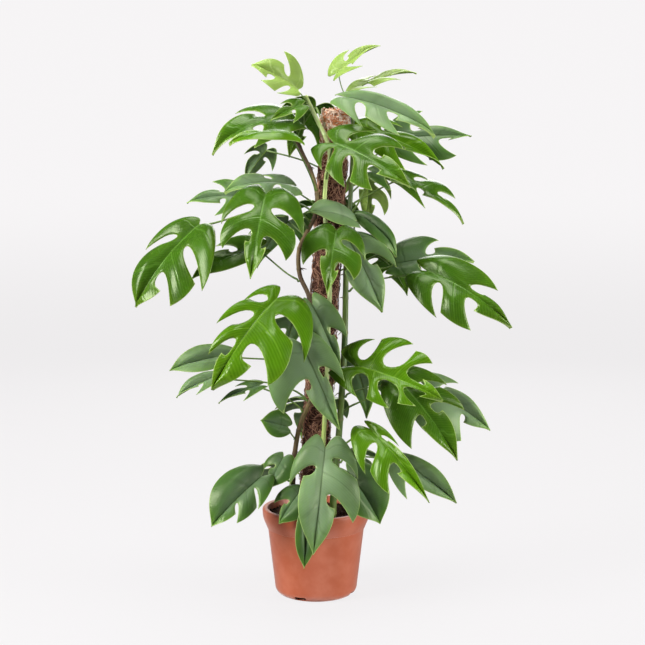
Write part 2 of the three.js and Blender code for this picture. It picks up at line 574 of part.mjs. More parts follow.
// The petiole starts inside the stem, leaves it square, rises, and meets the blade from behind.
function petioleSolid(leaf) {
  const { place, tangent, radius } = stemAt(STEMS[leaf.stem], leaf.root);
  const { matrix } = bladeFrame(leaf);
  const at = new THREE.Vector3(...leaf.at);
  const midrib = new THREE.Vector3().setFromMatrixColumn(matrix, 0).normalize();
  const under = new THREE.Vector3().setFromMatrixColumn(matrix, 2).normalize().negate();
  const out = at.clone().sub(place);
  out.addScaledVector(tangent, -out.dot(tangent)).normalize();
  const root = place.clone().addScaledVector(out, radius / 2);
  const reach = at.distanceTo(root);
  const rise = new THREE.Vector3(0, 0, 1);
  const leave = root.clone().addScaledVector(out, reach * 0.3).addScaledVector(rise, reach * 0.2);
  const arrive = at.clone().sub(root).normalize().addScaledVector(midrib, 0.5);
  arrive.addScaledVector(under, -0.4).normalize();
  const joint = at.clone().addScaledVector(under, 1);
  const before = joint.clone().addScaledVector(arrive, -reach * 0.3);
  const curve = new THREE.CubicBezierCurve3(root, leave, before, joint);
  const path = curve.getPoints(PETIOLE_STEPS);
  path.splice(1, 0, root.clone().addScaledVector(out, radius / 2 + PETIOLE_START));
  path.push(joint.clone().addScaledVector(midrib, PETIOLE_SUNK));
  return tube(path, path.map(() => PETIOLE_RADIUS * leaf.thick), PETIOLE_SIDES);
}

// ---- the pot ------------------------------------------------------------------------------

// The profile of the heel, from the flat bottom round to the wall, set in by an inset.
function heelProfile(inset) {
  const profile = [];
  for (let i = 0; i <= HEEL_PARTS; i += 1) {
    const angle = (i / HEEL_PARTS) * (Math.PI / 2);
    const radius = FOOT_RADIUS - HEEL_RADIUS + (HEEL_RADIUS - inset) * Math.sin(angle);
    profile.push(new THREE.Vector2(radius, HEEL_RADIUS - (HEEL_RADIUS - inset) * Math.cos(angle)));
  }
  return profile;
}

// The surface turned round the Z axis from a profile of radius and height that starts and ends on it.
function turned(profile) {
  return new THREE.LatheGeometry(profile, POT_SIDES).rotateX(Math.PI / 2);
}

function potSolid() {
  const inner = heelProfile(POT_WALL).reverse();
  let pot = solidOf(turned([
    new THREE.Vector2(0, 0),
    ...heelProfile(0),
    new THREE.Vector2(COLLAR_FOOT_RADIUS, COLLAR_FOOT),
    new THREE.Vector2(COLLAR_FOOT_RADIUS + COLLAR_STEP, COLLAR_FOOT + COLLAR_STEP),
    new THREE.Vector2(RIM_RADIUS - 2.5, POT_HEIGHT - 21),
    new THREE.Vector2(RIM_RADIUS, POT_HEIGHT - 12),
    new THREE.Vector2(RIM_RADIUS, POT_HEIGHT - RIM_EDGE),
    new THREE.Vector2(RIM_RADIUS - 0.3 * RIM_EDGE, POT_HEIGHT - 0.3 * RIM_EDGE),
    new THREE.Vector2(RIM_RADIUS - RIM_EDGE, POT_HEIGHT),
    new THREE.Vector2(RIM_INNER_RADIUS + 1, POT_HEIGHT),
    new THREE.Vector2(RIM_INNER_RADIUS, POT_HEIGHT - 1),
    new THREE.Vector2(COLLAR_FOOT_RADIUS - POT_WALL, COLLAR_FOOT),
    ...inner,
    new THREE.Vector2(0, POT_WALL),
  ]));
  for (let i = 0; i < NOTCH_COUNT; i += 1) {
    const angle = NOTCH_TURN + (i * 2 * Math.PI) / NOTCH_COUNT;
    const length = 2 * NOTCH_DEPTH;
    const notch = new THREE.BoxGeometry(length, NOTCH_WIDTH, 2 * NOTCH_HEIGHT);
    notch.translate(FOOT_RADIUS - NOTCH_DEPTH + length / 2, 0, 0);
    notch.rotateZ(angle);
    pot = pot.subtract(solidOf(notch));
  }
  return pot;
}

// ---- the soil -----------------------------------------------------------------------------

// The unevenness of the soil, the same every time, from -1 to 1.
function lumps(seed) {
  let state = seed;
  return () => {
    state = (state * 16807) % 2147483647;
    return (2 * state) / 2147483647 - 1;
  };
}

// The soil fills the pot with a clearance all round; the standing pieces leave plain holes in it.
function soilSolid(standing) {
  const inset = POT_WALL + SEAT;
  const rise = (SOIL_TOP - COLLAR_FOOT) / (POT_HEIGHT - COLLAR_FOOT);
  const bottom = COLLAR_FOOT_RADIUS - inset;
  const edge = bottom + (RIM_INNER_RADIUS - SEAT - bottom) * rise;
  const profile = [new THREE.Vector2(0, inset), ...heelProfile(inset)];
  profile.push(new THREE.Vector2(bottom, COLLAR_FOOT), new THREE.Vector2(edge, SOIL_TOP));
  for (let i = SOIL_RINGS - 1; i >= 0; i -= 1) {
    profile.push(new THREE.Vector2((edge * i) / SOIL_RINGS, SOIL_TOP));
  }
  const surface = turned(profile);
  surface.deleteAttribute("normal");
  surface.deleteAttribute("uv");
  const welded = mergeVertices(surface);
  const places = welded.attributes.position;
  const lump = lumps(SOIL_SEED);
  for (let i = 0; i < places.count; i += 1) {
    const radius = Math.hypot(places.getX(i), places.getY(i));
    if (places.getZ(i) > SOIL_TOP - 1 && radius < edge - 1) {
      places.setZ(i, SOIL_TOP + SOIL_LUMP * lump());
    }
  }
  return standing.reduce((soil, hole) => soil.subtract(hole), solidOf(welded));
}

// ---- the object ---------------------------------------------------------------------------

const plant = new THREE.Group();

function addPart(name, solid, colour, roughness) {
  const geometry = geometryOf(solid);
  geometry.computeVertexNormals();
  const material = new THREE.MeshStandardMaterial({ color: colour, roughness, metalness: 0 });
  const mesh = new THREE.Mesh(geometry, material);
  mesh.name = name;
  plant.add(mesh);
}

// A stem with its radius grown all over; its lower end is let down by as much.
function stemSolid(stem, grown) {
  const steps = 2 * (stem.points.length - 1);
  const path = stemCurve(stem).getPoints(steps);
  const [first, last] = stem.radii;
  path[0].z -= grown;
  return tube(path, path.map((p, i) => first + ((last - first) * i) / steps + grown), STEM_SIDES);
}

// A straight round bar along the pole, from its foot, stopping short of its top.
function poleBar(radius, grown, short) {
  const axis = POLE_TOP.clone().sub(POLE_FOOT).normalize();
  const foot = POLE_FOOT.clone().addScaledVector(axis, -grown);
  const top = POLE_TOP.clone().addScaledVector(axis, -short);
  return tube([foot, top], [radius + grown, radius + grown], POLE_SIDES);
}

const holes = Object.values(STEMS).map((stem) => stemSolid(stem, SEAT));
holes.push(poleBar(POLE_RADIUS, SEAT, 0));
addPart("pot", potSolid(), 0xb86a4c, 0.45);
addPart("soil", soilSolid(holes), 0x2e1f18, 0.95);
const sleeve = poleBar(POLE_RADIUS, 0, 0).subtract(poleBar(CORE_RADIUS, SEAT, -1));
addPart("pole_coir", sleeve, COIR_COLOUR, 0.95);
addPart("pole_core", poleBar(CORE_RADIUS, 0, CORE_SHORT), 0xb08a5c, 0.8);

Object.entries(STEMS).forEach(([name, stem]) => {
  addPart(`stem_${name}`, stemSolid(stem, 0), stem.colour, 0.55);
});

LEAVES.forEach((each) => {
  const leaf = { ...USUAL, ...each };
  const clearance = stemSolid(STEMS[leaf.stem], SEAT);
  const solid = bladeSolid(leaf).add(petioleSolid(leaf)).subtract(clearance);
  addPart(`leaf_${leaf.name}`, solid, TONES[leaf.tone], 0.4);
});

export default plant;
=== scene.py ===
"""A mini monstera (Rhaphidophora tetrasperma) on a coir pole in a plastic nursery pot.

Metres, +Z up. The origin is the centre of the flat bottom of the pot; -Y is the front.
Values that say so, and the tables of stems and leaves, are in millimetres.
"""
import math
import random
from collections import namedtuple
from contextlib import contextmanager

import bpy
import numpy as np
from bpy.props import FloatProperty, FloatVectorProperty, IntProperty, PointerProperty
from mathutils import Euler, Matrix, Vector, noise


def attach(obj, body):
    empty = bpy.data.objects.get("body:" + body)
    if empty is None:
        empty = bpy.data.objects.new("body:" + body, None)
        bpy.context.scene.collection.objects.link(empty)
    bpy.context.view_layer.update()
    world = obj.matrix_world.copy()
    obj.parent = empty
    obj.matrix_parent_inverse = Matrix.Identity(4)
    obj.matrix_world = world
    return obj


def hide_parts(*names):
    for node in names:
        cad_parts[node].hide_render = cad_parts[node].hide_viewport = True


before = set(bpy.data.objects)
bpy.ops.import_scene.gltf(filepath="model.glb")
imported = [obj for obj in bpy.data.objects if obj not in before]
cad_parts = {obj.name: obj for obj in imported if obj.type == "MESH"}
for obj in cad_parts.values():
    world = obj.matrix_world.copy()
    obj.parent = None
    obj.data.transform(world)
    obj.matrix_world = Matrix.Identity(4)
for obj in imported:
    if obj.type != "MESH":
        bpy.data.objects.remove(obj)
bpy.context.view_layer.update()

bl_info = {
    "name": "Mini monstera",
    "version": (1, 0, 0),
    "blender": (4, 5, 0),
    "location": "3D View > Sidebar > Plant",
    "description": "Makes a mini monstera on a coir pole, in its nursery pot, over its packed solids",
    "category": "Add Mesh",
}

MM = 0.001

# ---- the plant, in millimetres ---------------------------------------------------------------

POLE_FOOT = Vector((-15, 0, 25)) * MM
POLE_TOP = Vector((34.5, 0, 845)) * MM

# radii: at the foot and the top; nodes: the distance between them; points: the way it climbs
Stem = namedtuple("Stem", "radii bark nodes points")
STEMS = {
    "left": Stem((4.6, 3.6), "brown", 46, (
        (-46, -12, 60), (-41, -10, 164), (-40, -10, 226), (-36, -15, 264), (-30, -20, 297),
        (-22, -28, 322), (-8, -35, 358), (-1, -36, 438), (-11, -27, 529), (-28, -14, 569),
        (-29, -8, 612), (-15, -18, 643), (-1, -29, 673), (2, -29, 707), (-8, -18, 746),
        (-24, -12, 780), (-34, -10, 804))),
    "right": Stem((7, 3), "green", 52, (
        (27, -26, 60), (30, -25, 164), (41, -16, 297), (50, -9, 447), (53, -8, 592),
        (58, -8, 673), (62, -6, 741), (64, -4, 817), (62, -2, 872))),
    "front": Stem((4.1, 3.7), "young", 58, (
        (5, -33, 60), (6, -33, 158), (13, -32, 280), (19, -32, 386), (22, -32, 491),
        (24, -32, 552), (19, -32, 630), (15, -31, 690), (18, -31, 738), (24, -31, 775),
        (17, -29, 804), (4, -22, 831), (-9, -14, 858), (-18, -10, 876))),
    "back": Stem((4.6, 3), "green", 54, (
        (-6, 32, 60), (-6, 33, 164), (4, 35, 300), (8, 34, 450), (22, 33, 600),
        (28, 31, 720), (36, 30, 805))),
}

# stem, root: the stem it grows on, and the height of its root there
# at, tip: where the stalk meets the blade, and the end of the blade
# face: the way its upper side faces; wide: half widths over the length, left and right
# bend, fold, droop: degrees that it arches along, is raised at the midrib, and hangs across
# left, right: where the slots between its lobes start from the midrib, 0 at the base, 1 at the tip
# thick, gap: times the usual stalk and the usual slot
# point, tail: how far the lobes are drawn out forwards, and how long the one at the base is
# reach: how far the lobes are drawn back towards the stalk
# tone: the colour it is given; the dark tone is partly painted shade, for leaves that lie in the
# shade deep in the plant
Leaf = namedtuple(
    "Leaf", "name stem root at tip face wide bend fold droop left right tone "
    "thick gap point tail reach", defaults=(1, 1, 0.25, 0.65, 0.12))
LEAVES = (
    Leaf("top_1", "front", 866, (-30, -16, 887), (-107, -46, 927), (-0.1, -0.8, 0.6),
         (0.5, 0.54), 20, 22, 10, (0.42, 0.72), (0.5,), "young", thick=0.7, gap=1.1, point=0.05,
         tail=0.8, reach=-0.06),
    Leaf("top_2", "right", 868, (38, -4, 916), (111, 6, 963), (-0.3, -0.5, 0.8),
         (0.42, 0.42), 30, 20, 40, (0.5,), (0.45,), "young", thick=0.6),
    Leaf("top_3", "right", 850, (68, 18, 890), (176, 34, 919), (-0.1, -0.3, 1),
         (0.36, 0.36), 35, 12, 30, (0.5,), (0.35, 0.65), "young", thick=0.8),
    Leaf("top_4", "right", 835, (58, -24, 872), (204, -44, 807), (0.25, -0.5, 0.8),
         (0.07, 0.42), 30, 12, 50, (), (0.36, 0.66), "grey", gap=1.1, tail=0.6),
    Leaf("upper_right_1", "front", 735, (31, -84, 793), (156, -138, 720), (0.1, -0.8, 0.6),
         (0.46, 0.46), 34, 12, 42, (0.36, 0.66), (0.26, 0.5, 0.72), "green", point=0.12, tail=0.6,
         reach=0.15),
    Leaf("upper_right_2", "right", 760, (82, -20, 816), (220, -30, 752), (0.1, -0.6, 0.8),
         (0.46, 0.42), 35, 12, 45, (0.42,), (0.32, 0.62), "bright", gap=1.1, point=0.2, tail=0.55),
    Leaf("upper_right_3", "right", 745, (144, 40, 805), (277, 60, 811), (-0.1, -0.9, 0.4),
         (0.42, 0.42), 25, 10, 35, (0.45,), (0.42, 0.74), "dark", gap=1.4, point=0.15, tail=0.5),
    Leaf("upper_right_4", "right", 690, (147, 10, 736), (258, 0, 657), (0.2, -0.5, 0.85),
         (0.36, 0.3), 40, 12, 40, (0.4, 0.7), (0.5,), "green"),
    Leaf("upper_right_5", "right", 676, (97, -34, 746), (172, -50, 712), (0, -0.7, 0.7),
         (0.3, 0.3), 40, 12, 40, (0.5,), (0.55,), "dark"),
    Leaf("upper_left_1", "left", 792, (-45, 0, 834), (-177, -40, 775), (-0.3, -0.6, 0.7),
         (0.38, 0.46), 70, 12, 45, (0.6,), (0.5,), "green", point=0.2, tail=0.6),
    Leaf("upper_left_2", "left", 715, (-38, -92, 800), (-142, -128, 791), (-0.2, -0.35, 0.9),
         (0.28, 0.4), 30, 12, 40, (), (0.5,), "bright"),
    Leaf("upper_left_3", "left", 796, (-24, -36, 859), (-77, -44, 832), (-0.3, -0.8, 0.5),
         (0.45, 0.45), 30, 12, 40, (0.5,), (0.5,), "green", thick=0.8),
    Leaf("left_1", "left", 660, (-200, -36, 656), (-306, -76, 518), (-0.5, -0.8, 0.4),
         (0.56, 0.37), 35, 12, 38, (0.48, 0.76), (0.44,), "green", point=0.15, tail=0.9, reach=-0.04),
    Leaf("left_2", "left", 674, (-135, 20, 705), (-227, 20, 693), (-0.1, -0.7, 0.6),
         (0.42, 0.42), 35, 12, 40, (0.5,), (0.5,), "dark"),
    Leaf("left_3", "left", 560, (-102, 10, 612), (-218, -10, 559), (-0.1, -0.6, 0.7),
         (0.25, 0.38), 35, 12, 40, (), (0.5,), "green"),
    Leaf("left_4", "left", 650, (-82, -120, 708), (-104, -190, 573), (0, -0.95, 0.4),
         (0.5, 0.46), 50, 12, 50, (0.45, 0.74), (0.44, 0.7), "green", gap=1.1, point=0.2, tail=0.6),
    Leaf("left_5", "left", 690, (-45, -18, 724), (-155, -56, 712), (-0.1, -0.5, 0.85),
         (0.46, 0.42), 45, 12, 50, (0.45, 0.7), (0.5,), "grey", point=0.15),
    Leaf("middle_1", "front", 620, (62, -54, 664), (-16, -86, 677), (0, -0.6, 0.8),
         (0.4, 0.4), 40, 12, 40, (), (), "grey"),
    Leaf("middle_2", "right", 625, (71, -14, 671), (139, -44, 601), (0.3, -0.6, 0.7),
         (0.15, 0.22), 50, 12, 40, (), (), "dark"),
    Leaf("middle_3", "front", 618, (34, -110, 648), (19, -164, 547), (0, -0.9, 0.4),
         (0.5, 0.46), 50, 12, 50, (0.43, 0.74), (0.6,), "green", point=0.2, tail=0.6),
    Leaf("middle_4", "right", 575, (57, -48, 630), (113, -97, 511), (0.1, -0.95, 0.3),
         (0.4, 0.5), 40, 12, 45, (0.52,), (0.46,), "grey", gap=1.5, point=0.2, tail=0.7, reach=0),
    Leaf("right_1", "right", 560, (145, 30, 586), (282, 50, 588), (0.1, -0.7, 0.6),
         (0.42, 0.35), 35, 12, 40, (0.6,), (0.5,), "dark", point=0.1),
    Leaf("right_2", "right", 540, (191, -40, 577), (332, -90, 485), (0.1, -0.8, 0.6),
         (0.27, 0.42), 45, 12, 48, (0.67,), (0.42, 0.7), "green", point=0.15, tail=0.7),
    Leaf("left_6", "left", 470, (-64, -110, 536), (-168, -200, 395), (0.05, -0.85, 0.55),
         (0.51, 0.27), 52, 12, 44, (0.41, 0.72), (0.3, 0.52, 0.75), "bright", thick=1.2, gap=1.15,
         point=0.3, tail=0.85),
    Leaf("left_7", "left", 400, (-150, -40, 431), (-252, -50, 405), (-0.1, -0.8, 0.6),
         (0.24, 0.2), 30, 12, 35, (), (), "grey"),
    Leaf("left_8", "left", 350, (-165, -80, 400), (-236, -96, 366), (-0.1, -0.6, 0.8),
         (0.24, 0.22), 30, 12, 35, (0.6,), (), "grey"),
    Leaf("left_9", "left", 330, (-98, -54, 380), (-167, -70, 352), (-0.1, -0.6, 0.8),
         (0.28, 0.28), 30, 12, 35, (0.5,), (0.5,), "dark"),
    Leaf("middle_5", "left", 400, (-21, -100, 456), (41, -140, 318), (0, -1, 0.2),
         (0.28, 0.56), 35, 12, 50, (0.55,), (0.6,), "grey", thick=1.1, gap=1.1, point=0.2, tail=0.55),
    Leaf("middle_6", "front", 470, (-5, -56, 518), (43, -68, 407), (0.1, -1, 0.2),
         (0.3, 0.2), 35, 12, 40, (0.6,), (), "grey", point=0.15),
    Leaf("middle_7", "left", 280, (-50, -34, 305), (-96, -44, 318), (-0.1, -0.9, 0.4),
         (0.5, 0.5), 25, 12, 30, (), (), "dark", thick=0.8),
    Leaf("right_3", "right", 385, (67, -86, 418), (213, -130, 367), (0.1, -0.8, 0.55),
         (0.5, 0.38), 35, 12, 30, (0.27, 0.55, 0.77), (0.36, 0.6, 0.8), "bright", thick=1.1, gap=1.6,
         point=0.1, tail=0.7, reach=0.22),
    Leaf("right_4", "right", 355, (148, -60, 384), (240, -106, 260), (0.2, -0.9, 0.4),
         (0.42, 0.4), 40, 12, 45, (0.35, 0.6), (0.62,), "green"),
    Leaf("right_5", "right", 330, (192, 0, 371), (307, -14, 295), (0.2, -0.85, 0.45),
         (0.33, 0.58), 35, 12, 40, (0.4,), (0.74,), "grey", gap=0.5, point=0.1),
    Leaf("right_6", "right", 260, (91, -115, 316), (187, -185, 206), (0.2, -0.9, 0.4),
         (0.12, 0.38), 45, 12, 42, (0.4,), (0.42, 0.68), "bright", thick=1.1, point=0.15, tail=0.6,
         reach=0.08),
    Leaf("right_7", "right", 240, (148, -70, 253), (240, -100, 185), (0.2, -0.9, 0.4),
         (0.13, 0.42), 35, 12, 40, (), (0.45,), "grey"),
    Leaf("low_1", "left", 200, (-94, -80, 226), (-176, -125, 150), (-0.2, -0.9, 0.4),
         (0.34, 0.37), 35, 12, 42, (0.42, 0.7), (), "dark", thick=1.1, gap=0.45, point=0.1, tail=0.95,
         reach=0.1),
    Leaf("low_2", "left", 215, (-56, -50, 254), (-80, -76, 205), (-0.3, -0.8, 0.5),
         (0.55, 0.5), 30, 12, 40, (), (0.55,), "dark"),
    Leaf("low_3", "left", 170, (-27, -78, 200), (-63, -104, 150), (-0.1, -0.9, 0.4),
         (0.45, 0.45), 40, 12, 40, (), (0.6,), "dark"),
    Leaf("low_4", "front", 235, (16, -126, 285), (-4, -165, 113), (0, -1, 0.15),
         (0.4, 0.35), 40, 12, 48, (0.32, 0.64), (0.42,), "grey", thick=1.1, gap=0.85, point=0.12,
         tail=0.75, reach=0.08),
    Leaf("low_5", "front", 160, (-16, -106, 170), (-20, -120, 77), (0.1, -1, 0.2),
         (0.17, 0.17), 30, 10, 30, (), (), "dark", thick=0.9),
    Leaf("low_6", "right", 190, (54, -80, 236), (109, -118, 153), (0.3, -0.9, 0.4),
         (0.4, 0.4), 40, 12, 40, (), (), "dark"),
    Leaf("back_1", "back", 450, (-30, 80, 500), (-60, 155, 400), (-0.2, 0.9, 0.5),
         (0.45, 0.45), 45, 12, 40, (0.4, 0.7), (0.5,), "dark"),
    Leaf("back_2", "back", 350, (70, 70, 400), (95, 145, 290), (0.3, 0.9, 0.4),
         (0.45, 0.45), 45, 12, 40, (0.5,), (0.4, 0.7), "dark"),
    Leaf("back_3", "back", 600, (-50, 80, 660), (-110, 150, 570), (-0.4, 0.8, 0.5),
         (0.5, 0.5), 45, 12, 40, (0.4, 0.7), (0.5,), "dark"),
    Leaf("back_4", "back", 790, (0, 50, 862), (-50, 110, 775), (-0.3, 0.9, 0.4),
         (0.5, 0.5), 45, 12, 40, (0.4, 0.7), (0.4, 0.7), "green"),
    Leaf("back_5", "back", 740, (-88, 60, 786), (-128, 80, 728), (-0.3, 0.9, 0.4),
         (0.45, 0.45), 40, 12, 40, (0.4,), (0.45,), "grey"),
    Leaf("back_6", "back", 680, (95, 70, 740), (90, 140, 650), (0.3, 0.9, 0.4),
         (0.4, 0.4), 40, 12, 40, (0.5,), (0.4, 0.7), "young"),
    Leaf("back_7", "back", 560, (110, 80, 600), (170, 150, 520), (0.4, 0.8, 0.5),
         (0.5, 0.5), 45, 12, 40, (0.4, 0.7), (0.5,), "green"),
    Leaf("back_8", "back", 640, (10, 100, 690), (20, 200, 600), (0, 0.8, 0.6),
         (0.45, 0.5), 50, 12, 40, (0.35, 0.65), (0.5,), "green"),
    Leaf("back_9", "back", 290, (0, 90, 330), (-30, 200, 240), (-0.1, 0.8, 0.6),
         (0.5, 0.5), 50, 12, 40, (0.35, 0.65), (0.5,), "dark", thick=1.1),
    Leaf("back_10", "back", 200, (60, 80, 240), (95, 165, 160), (0.3, 0.8, 0.5),
         (0.45, 0.45), 45, 12, 40, (0.5,), (0.5,), "dark"),
    Leaf("back_11", "back", 190, (-60, 60, 220), (-110, 125, 150), (-0.4, 0.8, 0.5),
         (0.4, 0.4), 45, 12, 40, (0.5,), (0.5,), "dark"),
)

# ---- colours and nodes -----------------------------------------------------------------------


def linear(code):
    """The linear colour of an sRGB hex code."""
    values = [int(code[i:i + 2], 16) / 255 for i in (1, 3, 5)]
    return tuple(v / 12.92 if v <= 0.04045 else ((v + 0.055) / 1.055) ** 2.4 for v in values)


def shade(colour, share):
    """A colour made darker, or lighter where the share is over 1."""
    return tuple(share * v for v in colour)


def mixed(first, second, share):
    """Two colours mixed, with that share of the second."""
    return tuple((1 - share) * v + share * w for v, w in zip(first, second))


def set_all(thing, settings):
    for name, value in settings.items():
        setattr(thing, name, value)


def feed(tree, node, links):
    """Gives each input that is named its value, or the output that feeds it."""
    for name, value in links.items():
        if isinstance(value, bpy.types.NodeSocket):
            tree.links.new(value, node.inputs[name])
        else:
            node.inputs[name].default_value = value


def add_node(tree, kind, links=None, **settings):
    """A node with its settings and what feeds it."""
    node = tree.nodes.new(kind)
    set_all(node, settings)
    feed(tree, node, links or {})
    return node


def new_material(name):
    """A node material, its tree and its surface shader."""
    material = bpy.data.materials.new(name)
    material.use_nodes = True
    tree = material.node_tree
    return material, tree, tree.nodes["Principled BSDF"]


def own_place(tree):
    """The place of a point, in metres."""
    return add_node(tree, "ShaderNodeTexCoord").outputs["Object"]


def own_height(tree):
    return add_node(tree, "ShaderNodeSeparateXYZ", {0: own_place(tree)}).outputs["Z"]


def grain(tree, size, detail=3.0):
    """Noise with grains of that size in metres."""
    links = {"Vector": own_place(tree), "Scale": 1 / size, "Detail": detail, "Roughness": 0.55}
    return add_node(tree, "ShaderNodeTexNoise", links).outputs["Fac"]


def drawn_grain(tree, across, along, detail):
    """Noise drawn out upwards, with so many grains to the metre across and along."""
    scale = (across, across, along)
    drawn = add_node(tree, "ShaderNodeMapping", {"Vector": own_place(tree), "Scale": scale})
    links = {"Vector": drawn.outputs[0], "Scale": 1.0, "Detail": detail}
    return add_node(tree, "ShaderNodeTexNoise", links).outputs["Fac"]


def point_value(tree, name):
    """The number that the mesh holds under that name at each point."""
    return add_node(tree, "ShaderNodeAttribute", attribute_name=name).outputs["Fac"]


def between(tree, value, low, high, to_low=0.0, to_high=1.0):
    """A value carried from one range to another, with soft ends."""
    links = {"Value": value, "From Min": low, "From Max": high, "To Min": to_low, "To Max": to_high}
    node = add_node(tree, "ShaderNodeMapRange", links, interpolation_type="SMOOTHSTEP")
    return node.outputs["Result"]


def calc(tree, operation, first, second=0.0):
    node = add_node(tree, "ShaderNodeMath", {0: first, 1: second}, operation=operation)
    return node.outputs[0]


def times(tree, first, second):
    return calc(tree, "MULTIPLY", first, second)


def blend(tree, factor, first, second, amount=1.0):
    """The first colour, with the second over it by the factor times the amount."""
    links = {0: factor if amount == 1.0 else times(tree, factor, amount)}
    for socket, value in ((6, first), (7, second)):
        links[socket] = value if isinstance(value, bpy.types.NodeSocket) else (*value, 1)
    return add_node(tree, "ShaderNodeMix", links, data_type="RGBA").outputs[2]


def bumped(tree, shader, height, distance, strength):
    links = {"Height": height, "Distance": distance, "Strength": strength}
    feed(tree, shader, {"Normal": add_node(tree, "ShaderNodeBump", links).outputs["Normal"]})


# ---- the finishes ----------------------------------------------------------------------------

# of each bark: its fresh patches, its scars, its roughness, and the depth of its ridges
BARKS = {
    "brown": (linear("#7b6a3f"), linear("#3a2c20"), 0.75, 0.5 * MM),
    "green": (linear("#6f8f3c"), linear("#8b8a58"), 0.42, 0.2 * MM),
    "young": (linear("#b9cf74"), linear("#8a9a4e"), 0.42, 0.2 * MM),
}

# of each tone of leaf: the lighter green of its veins, and the roughness of its wax
LEAF_LIGHT = {
    "young": (linear("#c6dc84"), 0.31),
    "bright": (linear("#8fbf3a"), 0.21),
    "green": (linear("#6f9f3f"), 0.24),
    "dark": (linear("#5c8a48"), 0.33),
    "grey": (linear("#7f9f72"), 0.36),
}
OLD_TONES = ("grey", "dark")

# how light goes on inside a leaf: green the furthest, blue hardly at all
INSIDE_LEAF = {"Subsurface Radius": (0.6, 1.0, 0.15), "Subsurface Scale": 1.2 * MM}


def pot_plastic(settings):
    """Moulded polypropylene: satin, very finely pitted, a little scuffed and dusty."""
    material, tree, shader = new_material("moulded_polypropylene")
    scuff = between(tree, grain(tree, 0.030, 5), 0.35, 0.75)
    dusty = mixed(settings.colour, linear("#d9a48c"), 0.12)
    feed(tree, shader, {
        "Base Color": blend(tree, scuff, shade(settings.colour, 0.93), dusty),
        "Roughness": between(tree, grain(tree, 0.012), 0.3, 0.7, 0.38, 0.5),
        "Sheen Weight": 0.4, "Sheen Roughness": 0.5})
    bumped(tree, shader, grain(tree, 0.0009, 2), 0.06 * MM, 0.5)
    return material


def peat(settings):
    """Peat potting soil: nearly black and matt, with lighter fibres and crumbs."""
    material, tree, shader = new_material("peat_potting_soil")
    crumbs = between(tree, grain(tree, 0.0035, 6), 0.42, 0.68)
    body = blend(tree, crumbs, settings.colour, shade(settings.colour, 2.6))
    fibres = between(tree, grain(tree, 0.0018, 2), 0.66, 0.74)
    feed(tree, shader, {
        "Base Color": blend(tree, fibres, body, linear("#8a6446")),
        "Roughness": 0.95, "Specular IOR Level": 0.2})
    bumped(tree, shader, grain(tree, 0.0025, 6), 1.5 * MM, 0.9)
    return material


def coir_fibre(settings):
    """Coconut husk fibre: matt, pale orange brown at the top of the pole and darker lower down."""
    material, tree, shader = new_material("coconut_coir_fibre")
    uneven = times(tree, grain(tree, 0.045, 2), 0.14)
    # paler above about 0.8 m, at the top of the pole, and darker lower down
    at_top = between(tree, calc(tree, "ADD", own_height(tree), uneven), 0.80, 0.93)
    strand = point_value(tree, "strand")
    low = blend(tree, strand, settings.lower_colour, linear("#c8967a"))
    pale = between(tree, strand, 0.35, 0.8)
    high = blend(tree, pale, linear("#d08350"), settings.top_colour)
    feed(tree, shader, {
        "Base Color": blend(tree, at_top, low, high), "Roughness": 0.8, "Specular IOR Level": 0.3})
    bumped(tree, shader, grain(tree, 0.0016, 4), 0.6 * MM, 0.7)
    return material


def pole_wood():
    """Sawn softwood stake: pale, with brown grain drawn out along it."""
    material, tree, shader = new_material("sawn_softwood")
    rings = drawn_grain(tree, 260, 9, 4.0)
    streaks = between(tree, rings, 0.35, 0.7)
    feed(tree, shader, {
        "Base Color": blend(tree, streaks, linear("#b98d5e"), linear("#8a5f3a")),
        "Roughness": 0.8})
    bumped(tree, shader, rings, 0.3 * MM, 0.6)
    return material


def stem_bark(bark, settings):
    """Living stem: waxy and green when young, corky and brown where it is old, ringed at nodes."""
    fresh, scar, rough, ridges = BARKS[bark]
    material, tree, shader = new_material(f"stem_skin_{bark}")
    streak = drawn_grain(tree, 300, 22, 3.0)
    patches = between(tree, grain(tree, 0.06, 2), 0.4, 0.65)
    body = blend(tree, patches, getattr(settings, bark), fresh)
    body = blend(tree, between(tree, streak, 0.35, 0.68), body, scar, 0.45)
    body = blend(tree, point_value(tree, "node"), body, scar, 0.8)
    feed(tree, shader, {"Base Color": body, "Roughness": rough})
    bumped(tree, shader, streak, ridges, 0.6)
    return material


def chart(tree, name):
    """The two ways across a chart of the blade."""
    place = add_node(tree, "ShaderNodeUVMap", uv_map=name).outputs["UV"]
    split = add_node(tree, "ShaderNodeSeparateXYZ", {0: place})
    return split.outputs["X"], split.outputs["Y"]


def off_middle(tree, value):
    return calc(tree, "ABSOLUTE", calc(tree, "SUBTRACT", value, 0.5))


def fine_veins(tree):
    """Fine waving bands from the midrib to the margin."""
    place = add_node(tree, "ShaderNodeUVMap", uv_map="blade").outputs["UV"]
    links = {"Vector": place, "Scale": 17.0, "Distortion": 0.6, "Detail": 1.0, "Detail Scale": 2.0}
    wave = add_node(tree, "ShaderNodeTexWave", links, wave_type="BANDS", bands_direction="X")
    return wave.outputs["Fac"]


